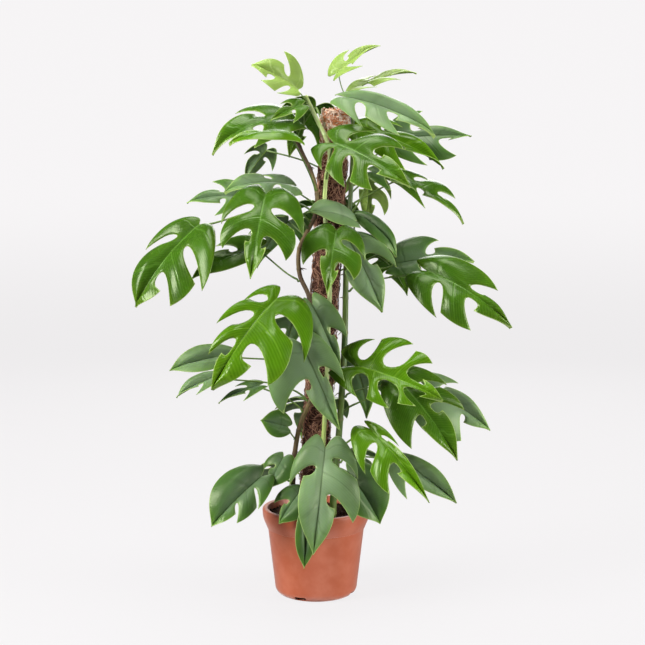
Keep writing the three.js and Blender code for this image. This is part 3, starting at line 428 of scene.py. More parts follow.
def leaf_upper(tone, settings):
    """Upper skin of a leaf: smooth wax over green, with sunk veins and a thin pale margin."""
    green, old = getattr(settings, tone), tone in OLD_TONES
    glow, sheen = LEAF_LIGHT[tone]
    material, tree, shader = new_material(f"leaf_upper_{tone}")
    to_tip, to_margin = chart(tree, "blade")
    out = times(tree, off_middle(tree, to_margin), 2.0)
    rib = between(tree, out, 0.014, 0.04, 1.0, 0.0)
    vein = times(
        tree, between(tree, off_middle(tree, chart(tree, "lobe")[0]), 0.0, 0.05, 1.0, 0.0),
        between(tree, out, 0.55, 0.95, 1.0, 0.0))
    fine = fine_veins(tree)

    patches = between(tree, grain(tree, 0.055), 0.36, 0.66)
    body = blend(tree, patches, shade(green, 0.8), shade(green, 1.12))
    body = blend(tree, fine, body, glow, 0.10)
    line = glow
    if old:
        line = shade(green, 0.35)
        heart = between(tree, out, 0.1, 0.75, 0.28, 0.0)
        body = blend(tree, heart, body, linear("#8c9f86"))
    body = blend(tree, vein, body, line, 0.25 if old else 0.18)
    body = blend(tree, rib, body, line, 0.6 if old else 0.25)
    edge = point_value(tree, "edge")
    ends = times(tree, between(tree, edge, 0.0, 12.0, 1.0, 0.0), grain(tree, 0.05, 2))
    ends = calc(tree, "ADD", ends, between(tree, to_tip, 0.78, 1.0, 0.0, 0.55))
    body = blend(tree, ends, body, linear("#6f9f24" if old else "#93b52a"), 0.42 if old else 0.2)
    rim = between(tree, edge, 0.5, 1.3, 1.0, 0.0)
    body = blend(tree, rim, body, linear("#b9cf7a"), 0.5)
    feed(tree, shader, {
        "Base Color": body,
        "Roughness": between(tree, grain(tree, 0.02), 0.3, 0.7, sheen - 0.05, sheen + 0.06),
        "Specular IOR Level": 0.3, "Specular Tint": (0.9, 1.0, 0.65, 1),
        "Subsurface Weight": settings.glow, **INSIDE_LEAF})

    sunk = times(tree, calc(tree, "ADD", rib, times(tree, vein, 0.7)), -1.0)
    relief = calc(tree, "ADD", times(tree, fine, 0.16), times(tree, patches, 0.5))
    bumped(tree, shader, calc(tree, "ADD", sunk, relief), 0.6 * MM, 0.8)
    return material


def leaf_under(tone, settings):
    """Underside of a leaf: matt and much paler, with raised veins."""
    material, tree, shader = new_material(f"leaf_under_{tone}")
    fine = fine_veins(tree)
    pale = mixed(getattr(settings, tone), linear("#a9bd84"), 0.5)
    patches = between(tree, grain(tree, 0.04), 0.35, 0.68)
    body = blend(tree, patches, shade(pale, 0.85), shade(pale, 1.1))
    feed(tree, shader, {
        "Base Color": blend(tree, fine, body, linear("#c2d09a"), 0.15),
        "Roughness": 0.6, "Specular IOR Level": 0.35,
        "Subsurface Weight": settings.glow, **INSIDE_LEAF})
    bumped(tree, shader, fine, 0.3 * MM, 0.6)
    return material


def petiole_skin(settings):
    """Leaf stalk: smooth and faintly ridged, in two greens that lie in patches."""
    material, tree, shader = new_material("leaf_stalk_skin")
    ridge = drawn_grain(tree, 420, 60, 2.0)
    patches = between(tree, grain(tree, 0.05, 2), 0.38, 0.66)
    body = blend(tree, patches, settings.stalk, linear("#6d8a38"))
    feed(tree, shader, {
        "Base Color": blend(tree, ridge, body, linear("#4a5a26"), 0.3), "Roughness": 0.42})
    bumped(tree, shader, ridge, 0.2 * MM, 0.5)
    return material


# ---- meshes ----------------------------------------------------------------------------------


def only(*pieces):
    """Selects these pieces alone, the first of them active."""
    bpy.ops.object.select_all(action="DESELECT")
    for piece in pieces:
        piece.select_set(True)
    bpy.context.view_layer.objects.active = pieces[0]


@contextmanager
def editing():
    """Edit mode on the active piece, with the whole of it selected, and out of it again."""
    bpy.ops.object.mode_set(mode="EDIT")
    bpy.ops.mesh.select_all(action="SELECT")
    yield
    bpy.ops.object.mode_set(mode="OBJECT")


def modified(piece, name, kind, **settings):
    """Gives a piece a modifier and applies it."""
    only(piece)
    modifier = piece.modifiers.new(name, kind)
    set_all(modifier, settings)
    bpy.ops.object.modifier_apply(modifier=modifier.name)


def mesh_piece(name, points, faces):
    """A piece from points and faces worked out in code."""
    mesh = bpy.data.meshes.new(name)
    mesh.from_pydata([tuple(p) for p in points], [], faces)
    mesh.update()
    piece = bpy.data.objects.new(name, mesh)
    bpy.context.scene.collection.objects.link(piece)
    return piece


def finished(piece, name, nodes, materials=()):
    """Names a piece, gives it its materials, and puts it on the body in place of its nodes."""
    piece.name = piece.data.name = name
    for material in materials:
        piece.data.materials.append(material)
    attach(piece, "root")
    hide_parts(*nodes)


def give_values(mesh, name, values):
    """A number at each point of a mesh, for its material."""
    layer = mesh.attributes.new(name, "FLOAT", "POINT")
    layer.data.foreach_set("value", np.asarray(values, dtype=np.float32))


def places_of(mesh):
    values = np.empty(3 * len(mesh.vertices))
    mesh.vertices.foreach_get("co", values)
    return values.reshape(-1, 3)


def set_places(mesh, places):
    mesh.vertices.foreach_set("co", np.asarray(places).ravel())
    mesh.update()


def joined(pieces):
    """The pieces made one, under the first one's name."""
    only(*pieces)
    bpy.ops.object.join()
    return bpy.context.object


def bar(name, path, radii, roundness):
    """A round bar along a path, drawn as a curve and made a mesh."""
    curve = bpy.data.curves.new(name, "CURVE")
    curve.dimensions = "3D"
    curve.bevel_depth = 1
    curve.bevel_resolution = roundness
    curve.use_fill_caps = True
    spline = curve.splines.new("POLY")
    spline.points.add(len(path) - 1)
    for point, place, radius in zip(spline.points, path, radii):
        point.co = (*place, 1)
        point.radius = radius
    piece = bpy.data.objects.new(name, curve)
    bpy.context.scene.collection.objects.link(piece)
    only(piece)
    bpy.ops.object.convert(target="MESH")
    return bpy.context.object


def rings_up(rings, sides, start, bowl=False):
    """A filled circle drawn on through rings of radius and height; a bowl is open and faces in."""
    radius, height = start
    bpy.ops.mesh.primitive_circle_add(
        vertices=sides, radius=radius, fill_type="NGON", location=(0, 0, 0))
    piece = bpy.context.object
    with editing():
        bpy.ops.transform.translate(value=(0, 0, height))
        for next_radius, next_height in rings:
            step = {"value": (0, 0, next_height - height)}
            bpy.ops.mesh.extrude_region_move(TRANSFORM_OT_translate=step)
            ratio = next_radius / radius
            bpy.ops.transform.resize(value=(ratio, ratio, 1), center_override=(0, 0, next_height))
            radius, height = next_radius, next_height
        if bowl:
            bpy.ops.mesh.delete(type="ONLY_FACE")
        bpy.ops.mesh.select_all(action="SELECT")
        bpy.ops.mesh.normals_make_consistent(inside=bowl)
    return piece


def arc(middle, radius, first, last, parts):
    """Points of radius and height on an arc, from one angle to another in degrees."""
    angles = [math.radians(first + (last - first) * i / parts) for i in range(parts + 1)]
    return [(middle[0] + radius * math.cos(a), middle[1] + radius * math.sin(a)) for a in angles]


def bezier(first, second, third, fourth, parts):
    path = []
    for i in range(parts + 1):
        t = i / parts
        s = 1 - t
        path.append(first * s ** 3 + second * 3 * t * s * s + third * 3 * t * t * s + fourth * t ** 3)
    return path


# ---- the stems' and leaves' shape ------------------------------------------------------------

STEM_PARTS = 260
HALVINGS = 30  # that find a height on a stem

# the margin of a blade of length 1
MARGIN_TURN = 2.75  # how far round the blade it starts, in radians
MARGIN_MIDDLE = 0.36
MARGIN_REACH = 0.44
TIP_REACH = 0.2
MARGIN_SWEEP = 0.14
MARGIN_TAPER = 0.3  # how much narrower the blade is by its tip
TIP_TAPER = 0.3  # narrowing of the last stretch alone
VEIN_BOW = 0.06  # how far a lateral vein bows back
SINUS = 0.2  # where a slot starts, from the midrib (0) to the margin (1)
SLOT_HALF = 0.058  # half width of a slot at the margin
HEART_ROWS = 3  # lines between the midrib and where the slots start
LOBE_SINK = (-0.05, 0.012)  # how far the ends of the lobes hang down or stand up
WELD = 0.02  # millimetres within which points of two lobes are one
EDGE_FAR = 8.0  # millimetres; no point counts as further than this from the margin
CROWN_RISE = 2.2  # how fast the crown of a lobe rises, out from the midrib
WAVES_FINE = 4.2  # how many waves go on a blade
WAVES_APART = 30  # keeps the waves of two blades from being alike

# the stalk and the midrib, in millimetres
STALK_RADIUS = 1.7
STALK_START = 2  # of straight stalk outside the stem
STALK_PARTS = 14
# times the radius at each of its points: thick at the stem, and again where it meets the blade
STALK_SWELL = [1.35] * 2 + [1.15] * 2 + [0.92] * (STALK_PARTS - 5) + [1.1] * 3
JOINT_DEEP = 1.3  # how far under the blade the stalk goes over into the midrib
MIDRIB_UNDER = 0.35  # from the middle of the blade to the top of the midrib
MIDRIB_PARTS = 12
MIDRIB_END = 0.94  # where it ends, over the blade's length
MIDRIB_HALF = 0.4  # any half width will do, since the midrib lies in the middle


def stem_points(name):
    return [Vector(p) * MM for p in STEMS[name].points]


def stem_point(points, t):
    """A point of the smooth curve through the points of a stem; t runs from 0 to 1."""
    last = len(points) - 1
    i = min(int(t * last), last - 1)
    weight = t * last - i
    p1, p2 = points[i], points[i + 1]
    p0 = points[i - 1] if i > 0 else 2 * p1 - p2
    p3 = points[i + 2] if i + 2 <= last else 2 * p2 - p1
    d0, d1, d2 = (max((b - a).length, 1e-6) ** 0.5 for a, b in ((p0, p1), (p1, p2), (p2, p3)))
    t1 = ((p1 - p0) / d0 - (p2 - p0) / (d0 + d1) + (p2 - p1) / d1) * d1
    t2 = ((p2 - p1) / d1 - (p3 - p1) / (d1 + d2) + (p3 - p2) / d2) * d1
    a, b = -3 * p1 + 3 * p2 - 2 * t1 - t2, 2 * p1 - 2 * p2 + t1 + t2
    return p1 + t1 * weight + a * weight ** 2 + b * weight ** 3


def stem_at(name, height):
    """The place, direction and radius of a stem at a height."""
    points = stem_points(name)
    low, high = 0.0, 1.0
    for _ in range(HALVINGS):
        middle = (low + high) / 2
        if stem_point(points, middle).z < height:
            low = middle
        else:
            high = middle
    first, last = STEMS[name].radii
    along = (stem_point(points, low + 1e-4) - stem_point(points, low - 1e-4)).normalized()
    return stem_point(points, low), along, (first + (last - first) * low) * MM


def flat_point(u, v, half, reach):
    """A point of the flat blade, of length 1 along x, out along the lateral vein at u."""
    turn = MARGIN_TURN * (1 - u) ** 0.9
    margin = (MARGIN_MIDDLE + MARGIN_REACH * math.cos(turn) + TIP_REACH * u ** 6
              + MARGIN_SWEEP * math.sin(math.pi * u) - reach * (1 - u))
    wide = half * math.sin(turn) * (1 - MARGIN_TAPER * u * u - TIP_TAPER * u ** 8)
    return u * u + (margin - u * u) * v - 4 * VEIN_BOW * v * (1 - v) * (1 - u), wide * v


def bent_point(x, y, lift, side, half, leaf):
    """Bends the flat blade: raised at the midrib, hanging at the sides, arched along."""
    fold = math.radians(leaf.fold)
    hang = math.radians(leaf.droop) / half
    lean = fold - hang * y
    across = (math.sin(fold) - math.sin(lean)) / hang - lift * math.sin(lean)
    up = (math.cos(lean) - math.cos(fold)) / hang + lift * math.cos(lean)
    bend = math.radians(leaf.bend)
    turn = bend * x
    return Vector((
        math.sin(turn) / bend + up * math.sin(turn),
        side * across,
        (math.cos(turn) - 1) / bend + up * math.cos(turn),
    ))


def lobe_end(t, first, last, leaf):
    """How far out a lobe ends: short at its corner near the base, pointed at the far one."""
    if first and last:
        return 1.0
    if last:
        return leaf.tail * (0.7 + 0.3 * t * (2 - t))
    if first:
        return 0.96 + 0.5 * leaf.point * t * t
    return 1.01 - leaf.point * (1 - t) ** 2 + 0.25 * leaf.point * t ** 3


def blade_frame(leaf):
    """The matrix that carries the bent blade to its place, and the length along its arch."""
    bend = math.radians(leaf.bend)
    at, tip = Vector(leaf.at) * MM, Vector(leaf.tip) * MM
    chord = tip - at
    length = chord.length * bend / (2 * math.sin(bend / 2))
    along = chord.normalized()
    face = Vector(leaf.face)
    face = (face - along * face.dot(along)).normalized()
    basis = Matrix((along, face.cross(along), face)).transposed().to_4x4()
    turned = Matrix.Rotation(-bend / 2, 4, "Y")
    return Matrix.Translation(at) @ basis @ turned @ Matrix.Scale(length, 4), length


def blade_columns(leaf, count):
    """The lateral lines of the blade, the slots of both sides among them."""
    columns = [i / count for i in range(count + 1)]
    slots = leaf.left + leaf.right
    for slot in slots:
        nearest = min(range(1, count), key=lambda i: abs(columns[i] - slot))
        if columns[nearest] in slots:
            columns.append(slot)
            columns.sort()
        else:
            columns[nearest] = slot
    return sorted(set(columns))


def make_blade(leaf, settings):
    """The blade of one leaf, lobe by lobe, as a single surface that faces its upper side."""
    matrix, length = blade_frame(leaf)
    columns = blade_columns(leaf, settings.columns)
    levels = [k / HEART_ROWS - 1 for k in range(HEART_ROWS)]
    rows = settings.rows
    levels += [0.5 - 0.5 * math.cos(math.pi * k / rows) for k in range(rows + 1)]
    count = len(levels)
    points, faces, flats, blade_chart, lobe_chart, outline = [], [], [], [], [], []
    chance = random.Random(leaf.name)
    place = Vector(leaf.at) * MM
    for side, half, slots in ((1, leaf.wide[0], leaf.left), (-1, leaf.wide[1], leaf.right)):
        ends = [0.0, *slots, 1.0]
        for start, stop in zip(ends, ends[1:]):
            first, last = start == 0, stop == 1
            sink = chance.uniform(*LOBE_SINK)
            inside = [u for u in columns if start - 1e-9 <= u <= stop + 1e-9]
            base = len(points)
            for u in inside:
                t = (u - start) / (stop - start)
                end = lobe_end(t, first, last, leaf)
                at_slot = (t == 0 and not first) or (t == 1 and not last)
                for level in levels:
                    w = max(level, 0.0)
                    # a slot is a drop, round at its inner end and narrower at the margin
                    open_by = SLOT_HALF * leaf.gap * math.sqrt(w * (2 - w)) * (1.6 - 1.2 * w)
                    lower = start + (0 if first else open_by)
                    upper = stop - (0 if last else open_by)
                    along = lower + (upper - lower) * t
                    v = SINUS + (end - SINUS) * level if level >= 0 else SINUS * (1 + level)
                    x, y = flat_point(along, v, half, leaf.reach)
                    crown = (1 - (2 * t - 1) ** 2) * min(1.0, v * CROWN_RISE)
                    spot = Vector((x, side * y, 0)) * WAVES_FINE + place * WAVES_APART
                    waves = noise.noise(spot)
                    lift = settings.crown * (stop - start) * crown
                    lift += settings.waves * waves * min(1, 3 * v) + sink * w * w
                    points.append(bent_point(x, y, lift, side, half, leaf))
                    flats.append((x, side * y))
                    blade_chart.append((along, 0.5 + 0.5 * side * v))
                    lobe_chart.append((t, v))
                    outline.append(level == 1 or (at_slot and level >= 0)
                                   or (u == 0 and v > 0) or u == 1)
            for i in range(len(inside) - 1):
                for k in range(count - 1):
                    a = base + i * count + k
                    quad = (a, a + count, a + count + 1, a + 1)
                    faces.append(quad if side > 0 else quad[::-1])
    blade = mesh_piece(leaf.name, [matrix @ p for p in points], faces)
    flats, outline = np.array(flats), np.array(outline)
    away = np.sqrt(((flats[:, None, :] - flats[None, outline, :]) ** 2).sum(axis=2)).min(axis=1)
    give_values(blade.data, "edge", np.minimum(away * length / MM, EDGE_FAR))
    order = np.empty(len(blade.data.loops), dtype=np.int32)
    blade.data.loops.foreach_get("vertex_index", order)
    for name, places in (("blade", blade_chart), ("lobe", lobe_chart)):
        layer = blade.data.uv_layers.new(name=name)
        layer.data.foreach_set("uv", np.array(places)[order].ravel())
    only(blade)
    with editing():
        bpy.ops.mesh.remove_doubles(threshold=WELD * MM)
    modified(blade, "thickness", "SOLIDIFY", thickness=settings.thickness, offset=0,
             material_offset=1, material_offset_rim=1)
    return blade, matrix, length


def make_stalk(leaf, matrix, length):
    """The stalk, from inside its stem up to the blade, and on under it as the midrib."""
    place, along, radius = stem_at(leaf.stem, leaf.root * MM)
    at = Vector(leaf.at) * MM
    midrib = (matrix.to_3x3() @ Vector((1, 0, 0))).normalized()
    under = -(matrix.to_3x3() @ Vector((0, 0, 1))).normalized()
    out = at - place
    out = (out - along * out.dot(along)).normalized()
    root = place + out * (radius / 2)
    reach = (at - root).length
    leave = root + out * (reach * 0.3) + Vector((0, 0, reach * 0.2))
    arrive = ((at - root).normalized() + midrib * 0.5 - under * 0.4).normalized()
    joint = at + under * (JOINT_DEEP * MM)
    path = bezier(root, leave, joint - arrive * (reach * 0.3), joint, STALK_PARTS)
    path.insert(1, root + out * (radius / 2 + STALK_START * MM))
    thick = STALK_RADIUS * leaf.thick * MM
    radii = [thick * share for share in STALK_SWELL]
    level = leaf._replace(fold=0)
    for i in range(1, MIDRIB_PARTS + 1):
        x = (i / MIDRIB_PARTS) ** 1.2 * MIDRIB_END
        radius = thick * (0.75 * (1 - x) + 0.12)
        drop = -(radius + MIDRIB_UNDER * MM) / length
        path.append(matrix @ bent_point(x, 0.0, drop, 1, MIDRIB_HALF, level))
        radii.append(radius)
    return bar(leaf.name + "_stalk", path, radii, 1)


# ---- what a user may change ------------------------------------------------------------------


def setting(kind, name, description, default, **limits):
    """A property that shows in the panel."""
    return kind(name=name, description=description, default=default, **limits)


def colour_property(name, description, code):
    return setting(
        FloatVectorProperty, name, description, linear(code), subtype="COLOR", min=0, max=1)


def power_property(name, lamp, default):
    return setting(FloatProperty, name, f"Power of the {lamp}", default, unit="POWER")


class PotSettings(bpy.types.PropertyGroup):
    """Sizes and colour of the pot."""

    colour: colour_property("Colour", "Colour of the plastic", "#b85832")
    sides: setting(IntProperty, "Sides", "Flats round the pot", 144, min=24, max=256)


class SoilSettings(bpy.types.PropertyGroup):
    """Look of the potting soil."""

    colour: colour_property("Colour", "Colour of the damp soil", "#2a1a12")
    height: setting(
        FloatProperty, "Height", "Height of the soil over the bottom of the pot", 142 * MM,
        unit="LENGTH")
    unevenness: setting(FloatProperty, "Unevenness", "Height of its lumps", 2.6 * MM, unit="LENGTH")
    crumbs: setting(IntProperty, "Crumbs", "Loose crumbs on top", 620, min=0, max=1500)


class PoleSettings(bpy.types.PropertyGroup):
    """Look of the coir pole."""

    # the first colour is for the top of the pole, the second for the rest of it lower down
    top_colour: colour_property("Top colour", "Lightest fibres, at the top", "#ffeeda")
    lower_colour: colour_property("Lower colour", "Darkest fibres lower down", "#4a2a20")
    strands: setting(IntProperty, "Strands", "Loose fibres round the pole", 4000, max=5000)
    strand_radius: setting(
        FloatProperty, "Strand radius", "Half width of a fibre, coarser than real so that it shows",
        0.7 * MM, unit="LENGTH")


class StemSettings(bpy.types.PropertyGroup):
    """Colours of the stems."""

    brown: colour_property("Old stem", "Colour of the corky stem", "#5d4630")
    green: colour_property("Green stem", "Colour of the full-grown stem", "#3f5f2a")
    young: colour_property("Young stem", "Colour of the youngest stem", "#b7c788")


class LeafSettings(bpy.types.PropertyGroup):
    """Shape and colours of the leaves."""

    thickness: setting(FloatProperty, "Thickness", "Thickness of a blade", 0.8 * MM, unit="LENGTH")
    columns: setting(IntProperty, "Columns", "Lines out from each midrib", 44, min=20)
    rows: setting(IntProperty, "Rows", "Lines along each lobe", 10, min=5)
    crown: setting(FloatProperty, "Crown", "Height of a lobe's crown over its width", 0.11)
    waves: setting(FloatProperty, "Waves", "Height of a blade's waves over its length", 0.012)
    glow: setting(
        FloatProperty, "Glow", "Share of the light that the blade scatters inside", 0.12,
        subtype="FACTOR", min=0, max=1)
    young: colour_property("Young", "Leaves that have just unrolled", "#7d9748")
    bright: colour_property("Bright", "Full-grown new leaves", "#3e6a05")
    green: colour_property("Green", "Full-grown leaves", "#2e530a")
    # Partly painted shade: this duller green goes on leaves that lie in the shade deep in the plant,
    # and partly it is the colour of older leaves.
    dark: colour_property("Dark", "Leaves deep in the plant", "#3a5829")
    grey: colour_property("Grey green", "Oldest leaves", "#647d53")
    stalk: colour_property("Stalk", "Colour of the leaf stalks", "#55702c")


class StageSettings(bpy.types.PropertyGroup):
    """Floor, light and camera."""

    floor: colour_property("Floor", "Colour of the floor and backdrop", "#f7f5f6")
    lift: setting(FloatProperty, "Lift", "Own light of the backdrop", 0.895, min=0)
    sky: setting(FloatProperty, "Sky", "Strength of the light from all round", 0.07, min=0)
    key: power_property("Key", "softbox at the left", 136)
    fill: power_property("Fill", "softbox at the right", 80)
    rear: power_property("Rear", "softbox behind", 36)
    top: power_property("Top", "softbox above", 60)
    bounce: power_property("Bounce", "light that comes back from the pale floor", 20)
    lens: setting(FloatProperty, "Lens", "Focal length", 73.84, unit="CAMERA")


# ---- the stage -------------------------------------------------------------------------------

FLOOR_SIDES = 128
FLOOR_RADIUS = 3.4
SWEEP_RADIUS = 2.6  # of the curve from the floor up into the backdrop
BACKDROP_TOP = (6.0, 8.0)  # radius and height
FLOOR_DROP = 0.2 * MM  # how far the paper lies under the foot of the pot
PAPER_GREY = 0.05  # how much of the lamps' light it sends back; its own light does the rest
GLOW_TOP = 0.7  # height where the backdrop's own light is at its strongest
GLOW_GAIN = 1.09  # how much stronger it is there than at the floor

# of each lamp: its name, place and width, and the setting that holds its power
LAMPS = (
    ("softbox_left", (-2.3, -1.3, 1.7), 1.6, "key"),
    ("softbox_right", (2.5, -0.9, 0.9), 1.5, "fill"),
    ("softbox_above", (0.1, -0.2, 2.9), 1.8, "top"),
    ("softbox_behind", (0.2, 2.5, 1.8), 1.8, "rear"),
    ("floor_bounce", (0.0, -0.7, -1.3), 2.4, "bounce"),
)
LAMP_AIM = Vector((0, 0, 0.5))
CAMERA_PLACE = Vector((0.0115, -2.310, 0.715))
CAMERA_AIM = Vector((0.0115, 0, 0.484))
SENSOR = 36  # width, in millimetres


def studio_paper(settings):
    """White paper that shines by itself, so that only the shadows on it are grey."""
    material, tree, shader = new_material("matt_studio_paper")
    lift = between(tree, own_height(tree), 0.0, GLOW_TOP, settings.lift, GLOW_GAIN * settings.lift)
    feed(tree, shader, {
        "Base Color": (PAPER_GREY, PAPER_GREY, PAPER_GREY, 1), "Roughness": 1.0,
        "Specular IOR Level": 0.0, "Emission Color": (*settings.floor, 1),
        "Emission Strength": lift})
    return material


def add_aimed(data, place, aim):
    """A lamp or camera at a place, turned to what it is aimed at."""
    holder = bpy.data.objects.new(data.name, data)
    holder.location = place
    holder.rotation_euler = (aim - holder.location).to_track_quat("-Z", "Y").to_euler()
    bpy.context.scene.collection.objects.link(holder)
    return holder


class PLANT_OT_add_stage(bpy.types.Operator):
    """Add the floor, the backdrop, the soft lights and the camera"""

    bl_idname = "plant.add_stage"
    bl_label = "Stage"

    def execute(self, context):
        scene = context.scene
        settings = scene.plant_stage
        sweep = arc((FLOOR_RADIUS, SWEEP_RADIUS), SWEEP_RADIUS, -85, 0, 17) + [BACKDROP_TOP]
        rings = [(radius, height - FLOOR_DROP) for radius, height in sweep]
        floor = rings_up(rings, FLOOR_SIDES, (FLOOR_RADIUS, -FLOOR_DROP), bowl=True)
        bpy.ops.object.shade_smooth()
        floor.name = floor.data.name = "studio_floor"
        # it takes the shadows, and gives the plant neither light nor a reflection
        floor.visible_diffuse = floor.visible_glossy = floor.visible_shadow = False
        floor.visible_transmission = False
        floor.data.materials.append(studio_paper(settings))

        for name, place, width, power in LAMPS:
            light = bpy.data.lights.new(name, "AREA")
            light.shape, light.size, light.energy = "DISK", width, getattr(settings, power)
            add_aimed(light, place, LAMP_AIM).visible_camera = False

        world = scene.world or bpy.data.worlds.new("studio")
        scene.world = world
        world.use_nodes = True
        feed(world.node_tree, world.node_tree.nodes["Background"], {
            "Color": (1, 1, 1, 1), "Strength": settings.sky})

        camera = bpy.data.cameras.new("camera")
        camera.lens, camera.sensor_width = settings.lens, SENSOR
        scene.camera = add_aimed(camera, CAMERA_PLACE, CAMERA_AIM)
        scene.view_settings.view_transform = "Standard"
        return {"FINISHED"}


# ---- the pot and the soil, in millimetres ----------------------------------------------------

HEEL = (58, 15)  # radius and height of the middle of the rounding between wall and bottom
HEEL_RADIUS = 15
POT_WALL = 2
# the rolled collar from its foot up to the rim, and the inside from the rim down, as radius, height
COLLAR = [
    (85.2, 117.6), (85.35, 118.8), (86.6, 119.4), (87.1, 120.6), (89.9, 127.5), (92.3, 133),
    (93.9, 138.5), (94.8, 143.5), (95, 147.5), (95, 151)]
RIM_MIDDLE = (91.8, 151.8)
RIM_EDGE = 3.2
POT_INSIDE = [(87.2, 155), (86.3, 154.6), (86, 153.8), (84.7, 136), (83.5, 119), (71, 15)]
POT_FLOOR_RADIUS = 50

SLOT_COUNT = 4  # drain slots
SLOT_TURN = -113  # degrees from +X to the first of them
SLOT_RADIUS = 73
SLOT_SIZE = (24, 21, 18)  # of the cutter: outwards, round and up, half of it under the bottom
SLOT_ROUNDING = 1.2
SMOOTH_UNDER = 38  # degrees

SOIL_START = (55, 2.4)  # radius and height
SOIL_WALL = [(70.6, 15), (83.1, 119)]
SOIL_EDGE = 84.8
SOIL_RINGS = 30
SOIL_SIDES = 120
LUMPS = ((42, 1), (120, 0.6), (300, 0.45))  # fineness and share of each size of lump
FLAT_RIM = 6  # width of the ring over which the lumps fade out by the wall

CRUMB_SEED = 7
CRUMB_SIZE = (0.9, 2.1)
CRUMB_TALL = (-0.5, 1.2)  # over the soil
CRUMB_REACH = 0.985  # how near the wall they lie, over the width of the soil
CRUMB_FLATS = ((0.7, 1.5), (0.7, 1.2), (0.5, 0.9))  # least and most stretch each way
CRUMB_ROUGH = (0.45, 1.9)  # depth and fineness of its dents
BIG_CRUMBS = 0.12  # share of them
BIG_CRUMB = 1.7  # times the size


class PLANT_OT_add_pot(bpy.types.Operator):
    """Add the nursery pot, with its rolled collar and the drain slots in its heel"""

    bl_idname = "plant.add_pot"
    bl_label = "Pot"

    def execute(self, context):
        settings = context.scene.plant_pot
        profile = arc(HEEL, HEEL_RADIUS, -84, 0, 14) + COLLAR
        profile += arc(RIM_MIDDLE, RIM_EDGE, 0, 90, 6)[1:] + POT_INSIDE
        profile += arc(HEEL, HEEL_RADIUS - POT_WALL, -15, -84, 6) + [(POT_FLOOR_RADIUS, POT_WALL)]
        pot = rings_up([(r * MM, z * MM) for r, z in profile], settings.sides, (HEEL[0] * MM, 0))
        for i in range(SLOT_COUNT):
            angle = math.radians(SLOT_TURN + i * 360 / SLOT_COUNT)
            place = (SLOT_RADIUS * MM * math.cos(angle), SLOT_RADIUS * MM * math.sin(angle), 0)
            bpy.ops.mesh.primitive_cube_add(
                size=1, location=place, rotation=(0, 0, angle), scale=[v * MM for v in SLOT_SIZE])
            cutter = context.object
            bpy.ops.object.transform_apply(location=True, rotation=True, scale=True)
            with editing():
                bpy.ops.mesh.bevel(offset=SLOT_ROUNDING * MM, segments=3, affect="EDGES")
            modified(pot, "drain_slot", "BOOLEAN", operation="DIFFERENCE", solver="EXACT",
                     object=cutter)
            bpy.data.objects.remove(cutter)
        bpy.ops.object.shade_smooth_by_angle(angle=math.radians(SMOOTH_UNDER))
        finished(pot, "nursery_pot", ["pot"], [pot_plastic(settings)])
        return {"FINISHED"}


def make_crumbs(settings):
    """Loose crumbs on the soil: one rough ball, turned and flattened anew for each."""
    bpy.ops.mesh.primitive_ico_sphere_add(subdivisions=2, radius=1, location=(0, 0, 0))
    crumb = bpy.context.object
    shape = places_of(crumb.data)
    deep, fine = CRUMB_ROUGH
    shape *= np.array([[1 + deep * noise.noise(Vector(p) * fine)] for p in shape])
    faces = np.array([list(face.vertices) for face in crumb.data.polygons])
    bpy.data.objects.remove(crumb)
    chance = random.Random(CRUMB_SEED)
    points, sides = [], []
    for _ in range(settings.crumbs):
        out = SOIL_EDGE * MM * math.sqrt(chance.random()) * CRUMB_REACH
        angle = chance.uniform(0, 2 * math.pi)
        size = chance.uniform(*CRUMB_SIZE) * MM * (BIG_CRUMB if chance.random() < BIG_CRUMBS else 1)
        turn = Euler([chance.uniform(0, 6.28) for _ in range(3)]).to_matrix()
        flat = np.array([chance.uniform(*stretch) for stretch in CRUMB_FLATS])
        height = settings.height + chance.uniform(*CRUMB_TALL) * MM
        spot = np.array([out * math.cos(angle), out * math.sin(angle), height])
        sides.append(faces + len(points) * len(shape))
        points.append((shape * flat * size) @ np.array(turn).T + spot)
    return mesh_piece("crumbs", np.concatenate(points), np.concatenate(sides).tolist())


class PLANT_OT_add_soil(bpy.types.Operator):
    """Add the potting soil, with its lumps and loose crumbs"""

    bl_idname = "plant.add_soil"
    bl_label = "Soil"

    def execute(self, context):
        settings = context.scene.plant_soil
        top, edge = settings.height, SOIL_EDGE * MM
        rings = [(r * MM, z * MM) for r, z in SOIL_WALL]
        rings += [(edge * (1 - i / SOIL_RINGS), top) for i in range(SOIL_RINGS)]
        soil = rings_up(rings, SOIL_SIDES, [v * MM for v in SOIL_START])
        places = places_of(soil.data)
        for place in places:
            out = math.hypot(place[0], place[1])
            if place[2] > top - 1e-6 and out < edge - 1e-6:
                lump = sum(share * noise.noise(Vector(place) * fine) for fine, share in LUMPS)
                place[2] += settings.unevenness * lump * min(1, (edge - out) / (FLAT_RIM * MM))
        set_places(soil.data, places)
        soil = joined([soil, make_crumbs(settings)])
        bpy.ops.object.shade_smooth()
        finished(soil, "potting_soil", ["soil"], [peat(settings)])
        return {"FINISHED"}


# ---- the pole, in millimetres ----------------------------------------------------------------

POLE_RADIUS = 25
SLEEVE_RADIUS = 22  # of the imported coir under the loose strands
SLEEVE_WALL = 11.6
SLEEVE_SHORT = 4  # how far it stops below the top
SLEEVE_SIDES = 64
SLEEVE_RINGS = 110
TUFTS = ((60, 1.7), (190, 0.9))  # fineness and height of its unevenness
TUFT_RADIUS = 24  # where the unevenness is read

